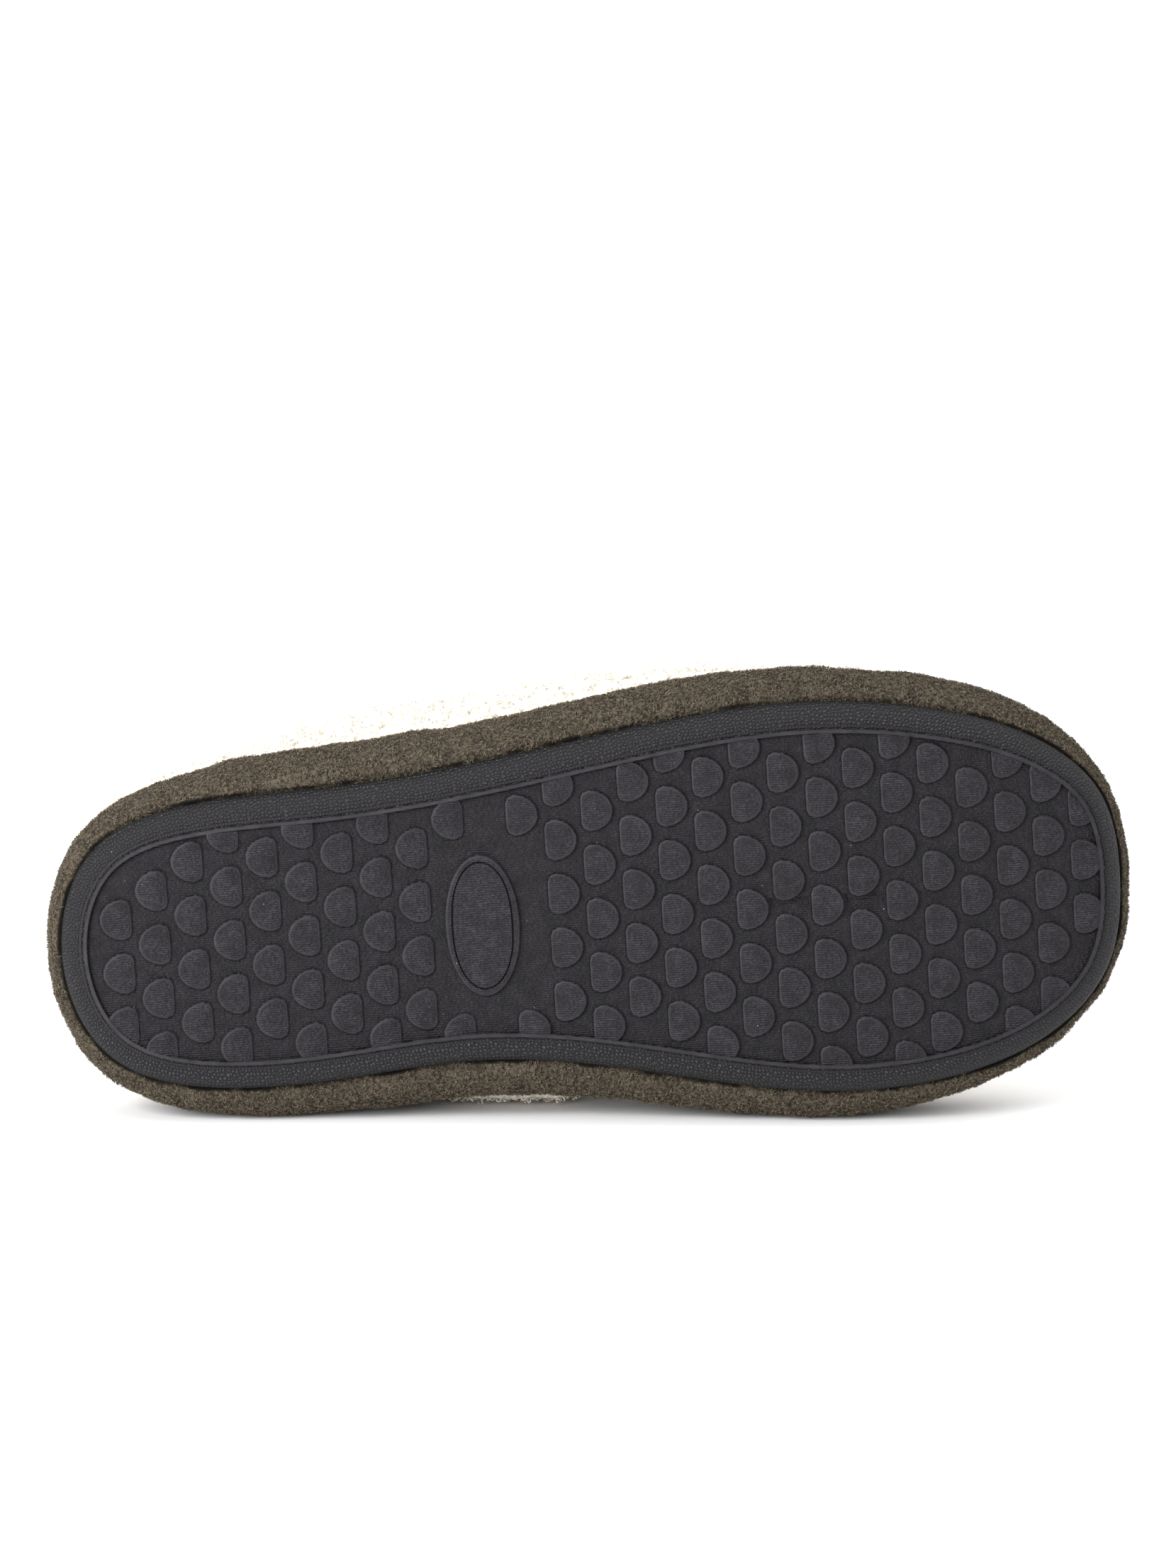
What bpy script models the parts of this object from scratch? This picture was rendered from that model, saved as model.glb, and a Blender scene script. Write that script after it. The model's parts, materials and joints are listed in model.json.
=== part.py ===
"""Plush house slipper for the right foot, lying on its inner side.

The pieces are modelled in the shoe's own axes: X from heel to toe, Y to the inner side of the foot,
Z up from the tread. An empty then lays the shoe on the floor, on the flat of its inner side.
Tables and sizes are in millimetres.
"""

from collections import namedtuple

import bmesh
import bpy
import numpy as np
from mathutils import Matrix, Vector

MM = 0.001
GAP = 0.3
STATIONS = 72
EDGE_STEP = 0.5
SHARP_ANGLE = 40.0

# Rubber edge seen from above, how far the fleece band bulges past it, and the width of the sole's border.
Edge = namedtuple("Edge", "name along inner bulge border")
SOLE_EDGE = (
    Edge("heel tip", -0.4, 0.7, 5.2, 5.8),
    Edge("heel inner corner", 10.4, 28.4, 6.8, 6.0),
    Edge("heel inner", 40.6, 38.0, 8.8, 6.2),
    Edge("waist inner rear", 75.0, 36.7, 10.2, 6.2),
    Edge("waist inner", 103.0, 34.7, 10.8, 6.2),
    Edge("ball inner rear", 146.0, 40.2, 9.6, 6.2),
    Edge("ball inner", 190.0, 47.8, 8.3, 6.2),
    Edge("toe inner", 223.0, 45.9, 6.4, 5.9),
    Edge("toe inner corner", 250.0, 35.2, 4.2, 5.2),
    Edge("toe inner tip", 262.4, 21.8, 3.5, 4.6),
    Edge("toe tip", 267.0, -0.5, 3.4, 4.3),
    Edge("toe outer tip", 262.4, -24.2, 3.8, 4.6),
    Edge("toe outer corner", 250.0, -36.4, 5.2, 5.4),
    Edge("toe outer", 223.0, -47.0, 7.0, 6.3),
    Edge("ball outer", 190.0, -51.0, 7.8, 6.7),
    Edge("ball outer rear", 150.0, -47.7, 8.6, 6.9),
    Edge("waist outer", 103.0, -40.2, 8.6, 7.0),
    Edge("heel outer front", 65.0, -36.5, 8.4, 7.0),
    Edge("heel outer", 35.0, -34.5, 6.8, 6.7),
    Edge("heel outer corner", 10.4, -25.4, 6.0, 6.2),
)

# Sections of the upper at named places of the edge: its puff past the band, its crown above the collar,
# and the collar's height there and its bearing in degrees round the opening, from the throat.
Wall = namedtuple("Wall", "name puff_out puff_up crown_out crown_up collar_up bearing")
UPPER_WALLS = (
    Wall("heel tip", 2.5, 15.0, 16.0, 6.0, 63.0, 180.0),
    Wall("heel inner", -4.5, 16.0, 14.5, 8.0, 58.0, 127.0),
    Wall("waist inner", 9.2, 16.0, 22.0, 8.0, 56.0, 78.0),
    Wall("ball inner", -2.5, 12.0, 29.0, 3.0, 62.0, 44.0),
    Wall("toe inner", -2.0, 11.0, 35.0, 2.0, 67.0, 22.0),
    Wall("toe tip", -1.5, 12.0, 42.0, 2.0, 69.0, 0.0),
    Wall("toe outer", -1.5, 11.0, 35.0, 2.0, 67.0, -22.0),
    Wall("ball outer", 5.0, 13.0, 30.0, 3.0, 62.0, -44.0),
    Wall("waist outer", 14.0, 17.0, 27.0, 9.0, 57.0, -78.0),
    Wall("heel outer", 4.5, 16.0, 19.0, 8.0, 59.0, -127.0),
)
COLLAR_HEEL = 13.0
COLLAR_THROAT = 151.0
COLLAR_WIDTH = 61.0

# Sole: heights above the tread plane, and widths in from the rubber edge.
SOLE_LENGTH = max(row.along for row in SOLE_EDGE)
TOE_SPRING = 7.0
SPRING_START = 185.0
HEEL_ROLL = 1.2
HEEL_ROLL_END = 22.0
SPRING_CUTS = (6.0, 13.0, HEEL_ROLL_END, SPRING_START, 200.0, 213.0, 226.0, 238.0, 250.0, 259.0)
CREASE_UP = 4.2
SOLE_TOP = 7.0
SOLE_TOP_IN = 2.8
BORDER_UP = 1.0
BORDER_STEPS = 5
RIM = 1.2
RIM_UP = 0.1
GROUND_UP = 1.2

# Tread: half-round lugs in staggered rows that face away from a plain oval pad at the waist.
LUG_ROW = 9.4
LUG_PITCH = 13.6
LUG_WIDTH = 10.8
LUG_DEPTH = 7.0
LUG_SIDE = 1.4
LUG_NECK = 0.86
LUG_ARC = 7
LUG_BACK_UP = 0.7
LUG_ROOT = 0.5
LUG_SPILL = 1.0
LUG_COLUMNS = 5
PAD_ALONG = 106.0
PAD_INNER = 0.0
PAD_LENGTH = 19.0
PAD_WIDTH = 36.0
PAD_SIDES = 28
PAD_CLEAR = 2.5
FIELD_REACH = 30.0

# Band, insole and upper. The band's swells are parts of its bulge, and of the crease's or its own height.
BAND_UP = 28.0
BAND_LIFT = 0.2
BAND_LOW_OUT = 1.17
BAND_LOW_UP = 0.36
BAND_HIGH_OUT = 1.22
BAND_HIGH_UP = 0.79
BAND_TOP_IN = 2.2
BAND_STEPS = 7
WALL = 7.0
WALL_LEAST_IN = 3.2
INSOLE = 4.2
INSOLE_ROUND = 1.2
UPPER_WALL = 6.0
UPPER_STEPS = 9
LINING_STEPS = 7
COLLAR_WALL = 9.0
LIP = 4.0
LIP_TURNS = (45.0, 90.0, 135.0)

# Lying on the floor, the soft wall is pressed flat by this much where it touches.
PRESS = 0.8
FLOOR_FACING = 0.9

RUBBER = ("charcoal_rubber", (0.050, 0.048, 0.055), 0.62)
FLEECE = ("olive_fleece", (0.070, 0.058, 0.034), 0.95)
SHERPA = ("cream_sherpa", (0.86, 0.80, 0.69), 0.95)
FOOTBED = ("cream_footbed", (0.80, 0.73, 0.61), 0.95)


def closed_spline(knots, period, values, at):
    """Read a smooth closed curve, through values at the knots, at the given places."""
    count = len(knots)
    step = np.diff(np.append(knots, knots[0] + period))
    rise = (np.roll(values, -1, axis=0) - values) / step[:, None]
    system = np.zeros((count, count))
    for i in range(count):
        system[i, i - 1] += step[i - 1]
        system[i, i] += 2 * (step[i - 1] + step[i])
        system[i, (i + 1) % count] += step[i]
    bend = np.linalg.solve(system, 6 * (rise - np.roll(rise, 1, axis=0)))
    at = (at - knots[0]) % period + knots[0]
    left = np.searchsorted(knots, at, side="right") - 1
    right = (left + 1) % count
    s = (at - knots[left])[:, None]
    h = step[left][:, None]
    slope = rise[left] - h * (2 * bend[left] + bend[right]) / 6
    turn = (bend[right] - bend[left]) / (6 * h)
    return values[left] + s * slope + s ** 2 * bend[left] / 2 + s ** 3 * turn


def edge_places():
    """Length along the edge at which each named place lies, and the whole round."""
    points = np.array([(row.along, row.inner) for row in SOLE_EDGE])
    steps = np.linalg.norm(np.roll(points, -1, axis=0) - points, axis=1)
    return np.concatenate(([0.0], np.cumsum(steps)[:-1])), steps.sum()


PLACES, ROUND = edge_places()
AT = np.linspace(0.0, ROUND, STATIONS, endpoint=False)


def read_edge(at):
    """Points of the rubber edge, outward directions, band bulge and border width at places along it."""
    table = np.array([row[1:] for row in SOLE_EDGE])
    here = closed_spline(PLACES, ROUND, table, at)
    ahead = closed_spline(PLACES, ROUND, table, at + EDGE_STEP)
    behind = closed_spline(PLACES, ROUND, table, at - EDGE_STEP)
    run = ahead[:, :2] - behind[:, :2]
    run /= np.linalg.norm(run, axis=1)[:, None]
    return here[:, :2], np.column_stack((-run[:, 1], run[:, 0])), here[:, 2], here[:, 3]


EDGE, OUTWARD, BULGE, BORDER = read_edge(AT)
INNER_WALL = -np.maximum(WALL - BULGE, WALL_LEAST_IN)


def spring(along):
    """Lift of the sole along the shoe: toe spring and the small roll of the heel."""
    toe = np.clip((along - SPRING_START) / (SOLE_LENGTH - SPRING_START), 0.0, None)
    heel = np.clip((HEEL_ROLL_END - along) / HEEL_ROLL_END, 0.0, None)
    return TOE_SPRING * toe ** 2 + HEEL_ROLL * heel ** 2


def ring(out, up):
    """Loop of points round the shoe, at a distance out from the rubber edge and a height."""
    flat = EDGE + OUTWARD * np.broadcast_to(out, STATIONS)[:, None]
    return np.column_stack((flat, np.broadcast_to(up, STATIONS)))


def lifted(points):
    """The same points with the sole's spring added to their height."""
    return points + np.outer(spring(points[:, 0]), (0.0, 0.0, 1.0))


def bezier(controls, steps):
    """Loops of points along the cubic curves whose four control loops are given."""
    first, second, third, last = controls
    loops = []
    for v in np.linspace(0.0, 1.0, steps):
        w = 1.0 - v
        loops.append(w ** 3 * first + 3 * w * w * v * second + 3 * w * v * v * third + v ** 3 * last)
    return loops


def outsole_rings():
    """Loops of the rubber sole from its top, over the rolled border and the rim, to the tread's ground."""
    rings = [ring(-SOLE_TOP_IN, SOLE_TOP)]
    for turn in np.linspace(0.0, np.pi / 2, BORDER_STEPS):
        rings.append(ring(-BORDER * (1 - np.cos(turn)), CREASE_UP - (CREASE_UP - BORDER_UP) * np.sin(turn)))
    rings.append(ring(-BORDER, RIM_UP))
    rings.append(ring(-BORDER - RIM, RIM_UP))
    rings.append(ring(-BORDER - RIM, GROUND_UP))
    return rings


def band_rings():
    """Loops of the fleece band: up its plump outside, over its top seam and down its inside."""
    outside = bezier((
        ring(GAP, CREASE_UP + BAND_LIFT),
        ring(BAND_LOW_OUT * BULGE, BAND_LOW_UP * CREASE_UP),
        ring(BAND_HIGH_OUT * BULGE, BAND_HIGH_UP * BAND_UP),
        ring(BULGE - BAND_TOP_IN, BAND_UP),
    ), BAND_STEPS)
    floor = SOLE_TOP + GAP
    inside = [ring(INNER_WALL, up) for up in (BAND_UP, (BAND_UP + floor) / 2, floor)]
    inside.append(ring(GAP - SOLE_TOP_IN, floor))
    return [lifted(loop) for loop in outside + inside]


def insole_rings():
    """Loops of the footbed, from its underside to its rounded top edge."""
    floor = SOLE_TOP + GAP
    out = INNER_WALL - GAP
    top = floor + INSOLE
    return [ring(out, floor), ring(out, top - INSOLE_ROUND), ring(out - INSOLE_ROUND, top)]


def upper_rings():
    """Loops of the hollow upper: outside from the band to the collar, over its lip and down the lining."""
    names = [row.name for row in SOLE_EDGE]
    knots = np.array([PLACES[names.index(row.name)] for row in UPPER_WALLS])
    bearing = np.radians([row.bearing for row in UPPER_WALLS])
    table = np.array([row[1:-1] for row in UPPER_WALLS])
    walls = closed_spline(knots, ROUND, np.column_stack((table, np.cos(bearing), np.sin(bearing))), AT)
    puff_out, puff_up, crown_out, crown_up, collar_up, ahead, aside = walls.T
    reach = np.hypot(ahead, aside)
    ahead, aside = ahead / reach, aside / reach
    half_length = (COLLAR_THROAT - COLLAR_HEEL) / 2
    half_width = COLLAR_WIDTH / 2
    collar = np.column_stack((COLLAR_HEEL + half_length * (1 + ahead), half_width * aside, collar_up))
    brim = np.column_stack((ahead / half_length, aside / half_width, np.zeros(STATIONS)))
    brim *= LIP / np.linalg.norm(brim, axis=1)[:, None]
    seam_up = BAND_UP + GAP
    seam = lifted(ring(BULGE - BAND_TOP_IN, seam_up))
    puff = lifted(ring(BULGE + puff_out, seam_up + puff_up))
    away = seam[:, :2] - collar[:, :2]
    away /= np.linalg.norm(away, axis=1)[:, None]
    away = np.column_stack((away, np.zeros(STATIONS)))
    rise = np.array((0.0, 0.0, 1.0))
    crown = collar + away * crown_out[:, None] + np.outer(crown_up, rise)
    outside = bezier((seam, puff, crown, collar), UPPER_STEPS)
    lip = []
    for turn in np.radians(LIP_TURNS):
        lip.append(collar - brim * np.sin(turn) - rise * COLLAR_WALL / 2 * (1 - np.cos(turn)))
    lining = bezier((
        collar - rise * COLLAR_WALL,
        crown - rise * UPPER_WALL - away * UPPER_WALL / 2,
        lifted(ring(BULGE + puff_out - UPPER_WALL, seam_up + puff_up - UPPER_WALL / 4)),
        lifted(ring(INNER_WALL, seam_up)),
    ), LINING_STEPS)
    return outside + lip + lining


def floor_face(points):
    """Outward direction and distance of the widest hull face that looks to the inner side."""
    hull = bmesh.new()
    for point in points:
        hull.verts.new(point)
    bmesh.ops.convex_hull(hull, input=hull.verts)
    inward = [face for face in hull.faces if face.normal.y > FLOOR_FACING]
    widest = max(inward, key=lambda face: face.calc_area())
    normal = np.array(widest.normal)
    distance = normal @ widest.verts[0].co
    hull.free()
    return normal, distance


def pressed(rings, normal, distance):
    """The loops with what lies past the floor pushed back onto it."""
    flat = []
    for loop in rings:
        past = np.clip(loop @ normal - distance, 0.0, None)
        flat.append(loop - np.outer(past, normal))
    return flat


def material(name, colour, roughness):
    """Plain finish for one kind of piece."""
    finish = bpy.data.materials.new(name)
    finish.use_nodes = True
    shader = finish.node_tree.nodes["Principled BSDF"]
    shader.inputs["Base Color"].default_value = (*colour, 1.0)
    shader.inputs["Roughness"].default_value = roughness
    shader.inputs["Metallic"].default_value = 0.0
    return finish


def add_object(name, mesh, finish=None):
    """New object from an edit mesh, with its faces pointing out."""
    bmesh.ops.recalc_face_normals(mesh, faces=mesh.faces)
    data = bpy.data.meshes.new(name)
    mesh.to_mesh(data)
    mesh.free()
    item = bpy.data.objects.new(name, data)
    bpy.context.collection.objects.link(item)
    if finish:
        data.materials.append(material(*finish))
        data.shade_smooth()
        data.set_sharp_from_angle(angle=np.radians(SHARP_ANGLE))
    return item


def skin(rings, capped):
    """Edit mesh whose faces run through the loops, closed on itself or capped at both ends."""
    mesh = bmesh.new()
    loops = [[mesh.verts.new(point * MM) for point in loop] for loop in rings]
    followers = loops[1:] if capped else loops[1:] + loops[:1]
    for loop, follower in zip(loops, followers):
        for i in range(len(loop)):
            mesh.faces.new((loop[i - 1], loop[i], follower[i], follower[i - 1]))
    if capped:
        mesh.faces.new(loops[0])
        mesh.faces.new(loops[-1])
    return mesh


def sprung(mesh):
    """Cut a flat edit mesh across at set places, and lift it by the sole's spring."""
    for along in SPRING_CUTS:
        everything = mesh.verts[:] + mesh.edges[:] + mesh.faces[:]
        bmesh.ops.bisect_plane(mesh, geom=everything, plane_co=(along * MM, 0, 0), plane_no=(1, 0, 0))
    bmesh.ops.triangulate(mesh, faces=[face for face in mesh.faces if len(face.verts) > 4])
    for vert in mesh.verts:
        vert.co.z += spring(vert.co.x / MM) * MM
    return mesh


def inside(point, loop):
    """Whether a point lies inside a closed loop, both seen from above."""
    after = np.roll(loop, -1, axis=0)
    spans = (loop[:, 1] > point[1]) != (after[:, 1] > point[1])
    run = loop[spans]
    end = after[spans]
    cross = run[:, 0] + (point[1] - run[:, 1]) * (end[:, 0] - run[:, 0]) / (end[:, 1] - run[:, 1])
    return np.count_nonzero(cross > point[0]) % 2 == 1


def lug_places():
    """Middle of each lug and the way it faces, in staggered rows square to the shoe."""
    field = ring(LUG_SPILL - BORDER - RIM, 0.0)[:, :2]
    clear = np.array((PAD_LENGTH + LUG_DEPTH, PAD_WIDTH + LUG_WIDTH)) / 2 + PAD_CLEAR
    places = []
    for row in range(int(SOLE_LENGTH / LUG_ROW) + 1):
        along = row * LUG_ROW + LUG_ROW / 2
        facing = 1.0 if along > PAD_ALONG else -1.0
        for column in range(-LUG_COLUMNS, LUG_COLUMNS + 1):
            across = (column + row % 2 / 2) * LUG_PITCH
            off_pad = np.linalg.norm((np.array((along, across)) - (PAD_ALONG, PAD_INNER)) / clear)
            if off_pad > 1.0 and inside((along, across), field):
                places.append((along, across, facing))
    return places


def lug_outline(along, across, facing):
    """Corners of one half-round lug and its underside's height, from its straight back round its front."""
    half = LUG_WIDTH / 2
    length = LUG_SIDE + LUG_DEPTH
    turns = np.linspace(-np.pi / 2, np.pi / 2, LUG_ARC)
    ahead = np.concatenate(([0.0], LUG_SIDE + LUG_DEPTH * np.cos(turns), [0.0]))
    aside = np.concatenate(([-LUG_NECK * half], half * np.sin(turns), [LUG_NECK * half]))
    under = LUG_BACK_UP * (1 - ahead / length)
    return np.column_stack((along + facing * (ahead - length / 2), across + aside, under))


def pad_outline():
    """Corners of the plain oval pad at the waist, level with the lugs."""
    turns = np.linspace(0.0, 2 * np.pi, PAD_SIDES, endpoint=False)
    along = PAD_ALONG + PAD_LENGTH / 2 * np.cos(turns)
    across = PAD_INNER + PAD_WIDTH / 2 * np.sin(turns)
    return np.column_stack((along, across, np.zeros(PAD_SIDES)))


def tread_blocks():
    """Cutting guide that holds every lug and the pad, rooted in the sole and trimmed inside the rim."""
    blocks = bmesh.new()
    for outline in [lug_outline(*place) for place in lug_places()] + [pad_outline()]:
        roots = outline.copy()
        roots[:, 2] = GROUND_UP + LUG_ROOT
        lower = [blocks.verts.new(point * MM) for point in lifted(outline)]
        upper = [blocks.verts.new(point * MM) for point in lifted(roots)]
        blocks.faces.new(lower)
        blocks.faces.new(upper)
        for i in range(len(lower)):
            blocks.faces.new((lower[i - 1], lower[i], upper[i], upper[i - 1]))
    lugs = add_object("tread_blocks", blocks)
    trim = ring(-BORDER - RIM / 2, 0.0)
    reach = np.array((0.0, 0.0, FIELD_REACH))
    field = add_object("tread_field", skin([trim - reach, trim + reach], capped=True))
    combine(lugs, field, "INTERSECT")
    hide(field)
    hide(lugs)
    return lugs, field


def combine(item, other, operation):
    """Boolean of one object with another, left live on the first."""
    change = item.modifiers.new(other.name, "BOOLEAN")
    change.operation = operation
    change.solver = "EXACT"
    change.object = other


def hide(item):
    """Keep a cutting guide out of the finished shoe."""
    item.hide_render = True
    item.display_type = "WIRE"


def lay_down(items, normal):
    """Empty that turns the shoe so that its floor face looks down, with its box standing on the origin."""
    down = Vector(normal)
    toe_ward = Vector((1.0, 0.0, 0.0))
    toe_ward = (toe_ward - down * toe_ward.dot(down)).normalized()
    turn = Matrix((toe_ward, down.cross(toe_ward) * -1.0, down * -1.0))
    graph = bpy.context.evaluated_depsgraph_get()
    corners = []
    for item in items:
        corners += [turn @ vert.co for vert in item.evaluated_get(graph).data.vertices]
    low = np.min(corners, axis=0)
    high = np.max(corners, axis=0)
    base = Vector(((low[0] + high[0]) / 2, (low[1] + high[1]) / 2, low[2]))
    holder = bpy.data.objects.new("lying_slipper", None)
    bpy.context.collection.objects.link(holder)
    holder.matrix_world = Matrix.Translation(-base) @ turn.to_4x4()
    return holder


def main():
    for item in list(bpy.data.objects):
        bpy.data.objects.remove(item)
    band = band_rings()
    upper = upper_rings()
    normal, distance = floor_face(np.concatenate(band + upper))
    band = pressed(band, normal, distance - PRESS)
    upper = pressed(upper, normal, distance - PRESS)
    outsole = add_object("outsole", sprung(skin(outsole_rings(), capped=True)), RUBBER)
    lugs, field = tread_blocks()
    combine(outsole, lugs, "UNION")
    shoe = [
        outsole,
        add_object("side_band", skin(band, capped=False), FLEECE),
        add_object("upper", skin(upper, capped=False), SHERPA),
        add_object("insole", sprung(skin(insole_rings(), capped=True)), FOOTBED),
    ]
    holder = lay_down(shoe, normal)
    for item in shoe + [lugs, field]:
        item.parent = holder


main()
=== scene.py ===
"""Looks of a plush house slipper for the right foot, lying on its inner side.

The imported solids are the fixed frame. The rubber sole is modelled again with rounded edges and finished lugs,
and the fleece band, the sherpa upper and the footbed are rounded copies of their solids that carry a pile.
Tables and sizes of the shoe are in millimetres, in its own axes: X from heel to toe, Y to the inner side,
Z up from the tread. Finished meshes are in metres, in the row frame.
"""

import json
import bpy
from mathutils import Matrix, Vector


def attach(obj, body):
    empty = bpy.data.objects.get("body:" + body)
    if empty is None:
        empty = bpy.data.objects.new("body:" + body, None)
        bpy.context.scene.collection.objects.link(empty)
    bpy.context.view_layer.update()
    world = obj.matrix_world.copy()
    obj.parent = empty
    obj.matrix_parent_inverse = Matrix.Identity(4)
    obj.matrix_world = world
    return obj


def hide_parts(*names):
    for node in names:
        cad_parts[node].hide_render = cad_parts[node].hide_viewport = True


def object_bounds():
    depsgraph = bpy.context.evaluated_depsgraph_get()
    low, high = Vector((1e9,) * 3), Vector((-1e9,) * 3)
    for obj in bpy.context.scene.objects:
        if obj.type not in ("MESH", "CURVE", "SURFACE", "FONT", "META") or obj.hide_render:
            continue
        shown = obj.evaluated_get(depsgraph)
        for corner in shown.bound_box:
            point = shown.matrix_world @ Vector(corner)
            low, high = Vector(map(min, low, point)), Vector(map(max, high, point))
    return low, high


bl_info = {
    "name": "Plush House Slipper",
    "version": (1, 0, 0),
    "blender": (4, 5, 0),
    "location": "View3D > Sidebar > Slipper",
    "description": "Dresses the slipper's solids with moulded rubber, fleece and sherpa pile",
    "category": "Add Mesh",
}

from collections import namedtuple

import bmesh
import bpy
import numpy as np
from bpy.props import FloatProperty, FloatVectorProperty, IntProperty, PointerProperty
from mathutils import Matrix, Vector
from mathutils.kdtree import KDTree

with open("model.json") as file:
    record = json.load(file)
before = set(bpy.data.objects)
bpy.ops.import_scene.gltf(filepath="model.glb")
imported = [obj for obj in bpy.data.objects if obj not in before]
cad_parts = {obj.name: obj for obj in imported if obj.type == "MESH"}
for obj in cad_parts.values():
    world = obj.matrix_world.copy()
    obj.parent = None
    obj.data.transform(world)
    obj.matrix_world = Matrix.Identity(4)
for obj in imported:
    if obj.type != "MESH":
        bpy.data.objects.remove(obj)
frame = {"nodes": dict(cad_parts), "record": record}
CAD_LOW, CAD_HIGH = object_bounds()
BODY = "root"
MM = 0.001
MERGE = 0.00001
NO_LENGTH = 1e-9
ORDER_DIGITS = 6

# Rubber edge seen from above, and the width of the sole's border there.
Edge = namedtuple("Edge", "name along inner border")
SOLE_EDGE = (
    Edge("heel tip", -0.4, 0.7, 5.8),
    Edge("heel inner corner", 10.4, 28.4, 6.0),
    Edge("heel inner", 40.6, 38.0, 6.2),
    Edge("waist inner rear", 75.0, 36.7, 6.2),
    Edge("waist inner", 103.0, 34.7, 6.2),
    Edge("ball inner rear", 146.0, 40.2, 6.2),
    Edge("ball inner", 190.0, 47.8, 6.2),
    Edge("toe inner", 223.0, 45.9, 5.9),
    Edge("toe inner corner", 250.0, 35.2, 5.2),
    Edge("toe inner tip", 262.4, 21.8, 4.6),
    Edge("toe tip", 267.0, -0.5, 4.3),
    Edge("toe outer tip", 262.4, -24.2, 4.6),
    Edge("toe outer corner", 250.0, -36.4, 5.4),
    Edge("toe outer", 223.0, -47.0, 6.3),
    Edge("ball outer", 190.0, -51.0, 6.7),
    Edge("ball outer rear", 150.0, -47.7, 6.9),
    Edge("waist outer", 103.0, -40.2, 7.0),
    Edge("heel outer front", 65.0, -36.5, 7.0),
    Edge("heel outer", 35.0, -34.5, 6.7),
    Edge("heel outer corner", 10.4, -25.4, 6.2),
)
EDGE_STATIONS = 340
EDGE_STEP = 0.5

# Sole: heights above the tread plane, and widths in from the rubber edge.
SOLE_LENGTH = max(row.along for row in SOLE_EDGE)
TOE_SPRING = 7.0
SPRING_START = 185.0
HEEL_ROLL = 1.2
HEEL_ROLL_END = 22.0
CREASE_UP = 4.2
SOLE_TOP = 7.0
SOLE_TOP_IN = 2.8
BORDER_UP = 1.0
BORDER_STEPS = 10
RIM = 1.2
RIM_UP = 0.1
RIM_ROUND = 0.22
GROUND_UP = 1.2
SPINE_ENDS = (38.0, 222.0)
SPINE_SHARES = (0.8, 0.6, 0.4, 0.2, 0.06)

# Tread: half-round lugs in staggered rows that face away from a plain oval pad at the waist.
LUG_ROW = 9.4
LUG_PITCH = 13.6
LUG_WIDTH = 10.8
LUG_DEPTH = 6.2
LUG_SIDE = 2.2
LUG_NECK = 0.97
LUG_ARC = 10
LUG_BACK_UP = 0.7
LUG_SPILL = 1.0
LUG_COLUMNS = 5
LUG_CORNER = 2.0
LUG_BENDS = 3
LUG_LEAST = 5.0
LUG_CUTS = 2
LUG_BEVEL = 0.12
LUG_ROUND = 1.1
LUG_LIP_IN = 0.3
LUG_LIP_UP = 0.2
LUG_WALL_UP = 0.85
LUG_FOOT = 0.6
LUG_SUNK = 0.06
LUG_INSET_MOST = 0.5
PAD_ALONG = 106.0
PAD_LENGTH = 19.0
PAD_WIDTH = 36.0
PAD_SIDES = 48
PAD_CLEAR = 2.5
PAD_GROOVE_IN = 1.7
PAD_GROOVE = 0.55
PAD_GROOVE_DEEP = 0.45

# Tones of the rubber, from painted shade in a corner, over the plain moulding, to a rubbed edge.
PAINTED_SHADE_TONE = 0.0
# The ground between the lugs is painted darker than the plain moulding, as shade.
SHADED_GROUND_TONE = 0.38
PLAIN_TONE = 0.5
CAP_TONE = 0.68
RUBBED_TONE = 1.0
CREASE_TONE = 0.62
LIP_TONE = 0.9
TREAD_LOOK = 0
BORDER_LOOK = 1
SHARP_ANGLE = np.radians(38.0)

# Finish of the tread: sizes in metres, and how much its shades and its relief vary.
NOISE_MIDDLE = (0.3, 0.7)
FINE_DETAIL = 4.0
SPECK_SPACING = 0.0037
SPECK_EDGE = (0.018, 0.042)
SPECK_KEPT = (0.62, 0.80)
TREAD_ROUGH = 0.6
TREAD_GLOSS = 0.28
# The darkest shade of the tread is painted shade for its corners.
TREAD_SHADES = (0.12, 1.0, 1.7)
CLOUD_SIZE = 0.0034
CLOUD_SHADE = (0.6, 1.4)
RIB_STRAY = 0.00045
RIB_STRAY_SIZE = 0.0022
RIB_STRAY_DETAIL = 3.0
RIB_BASE = 0.35
RIB_RANGE = (0.08, 1.5)
# Shades of the ribs: painted shade in their grooves and painted light on their crests.
RIB_SHADE = (0.0, 2.4)
RIB_DEEP = 0.00036
DASH_STRETCH = 1.5
DASH_SIZE = 0.9
DASH_EDGE = (0.36, 0.64)
DASH_BASE = 0.22
LIP_RELIEF = 0.42

# Finish of the border: pebbles in shares of their size, teeth in millimetres, depth in metres.
BORDER_ROUGH = 0.5
BORDER_GLOSS = 0.34
# Shades of the border: black in the crease and dark in the hollows as painted shade, light on the pebble tops
# as painted light.
BORDER_SHADES = (0.08, 0.3, 1.4)
PEBBLE_STRAY = 0.72
PEBBLE_DOME = (0.12, 0.8)
PEBBLE_WALL = (0.02, 0.16)
PEBBLE_DEEP = 0.00042
TOOTH_PITCH = 0.85
TOOTH_IN = 0.75
TOOTH_WIDTH = 0.34
TOOTH_FLAT = 0.7
TOOTH_WAVE = 0.6
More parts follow.
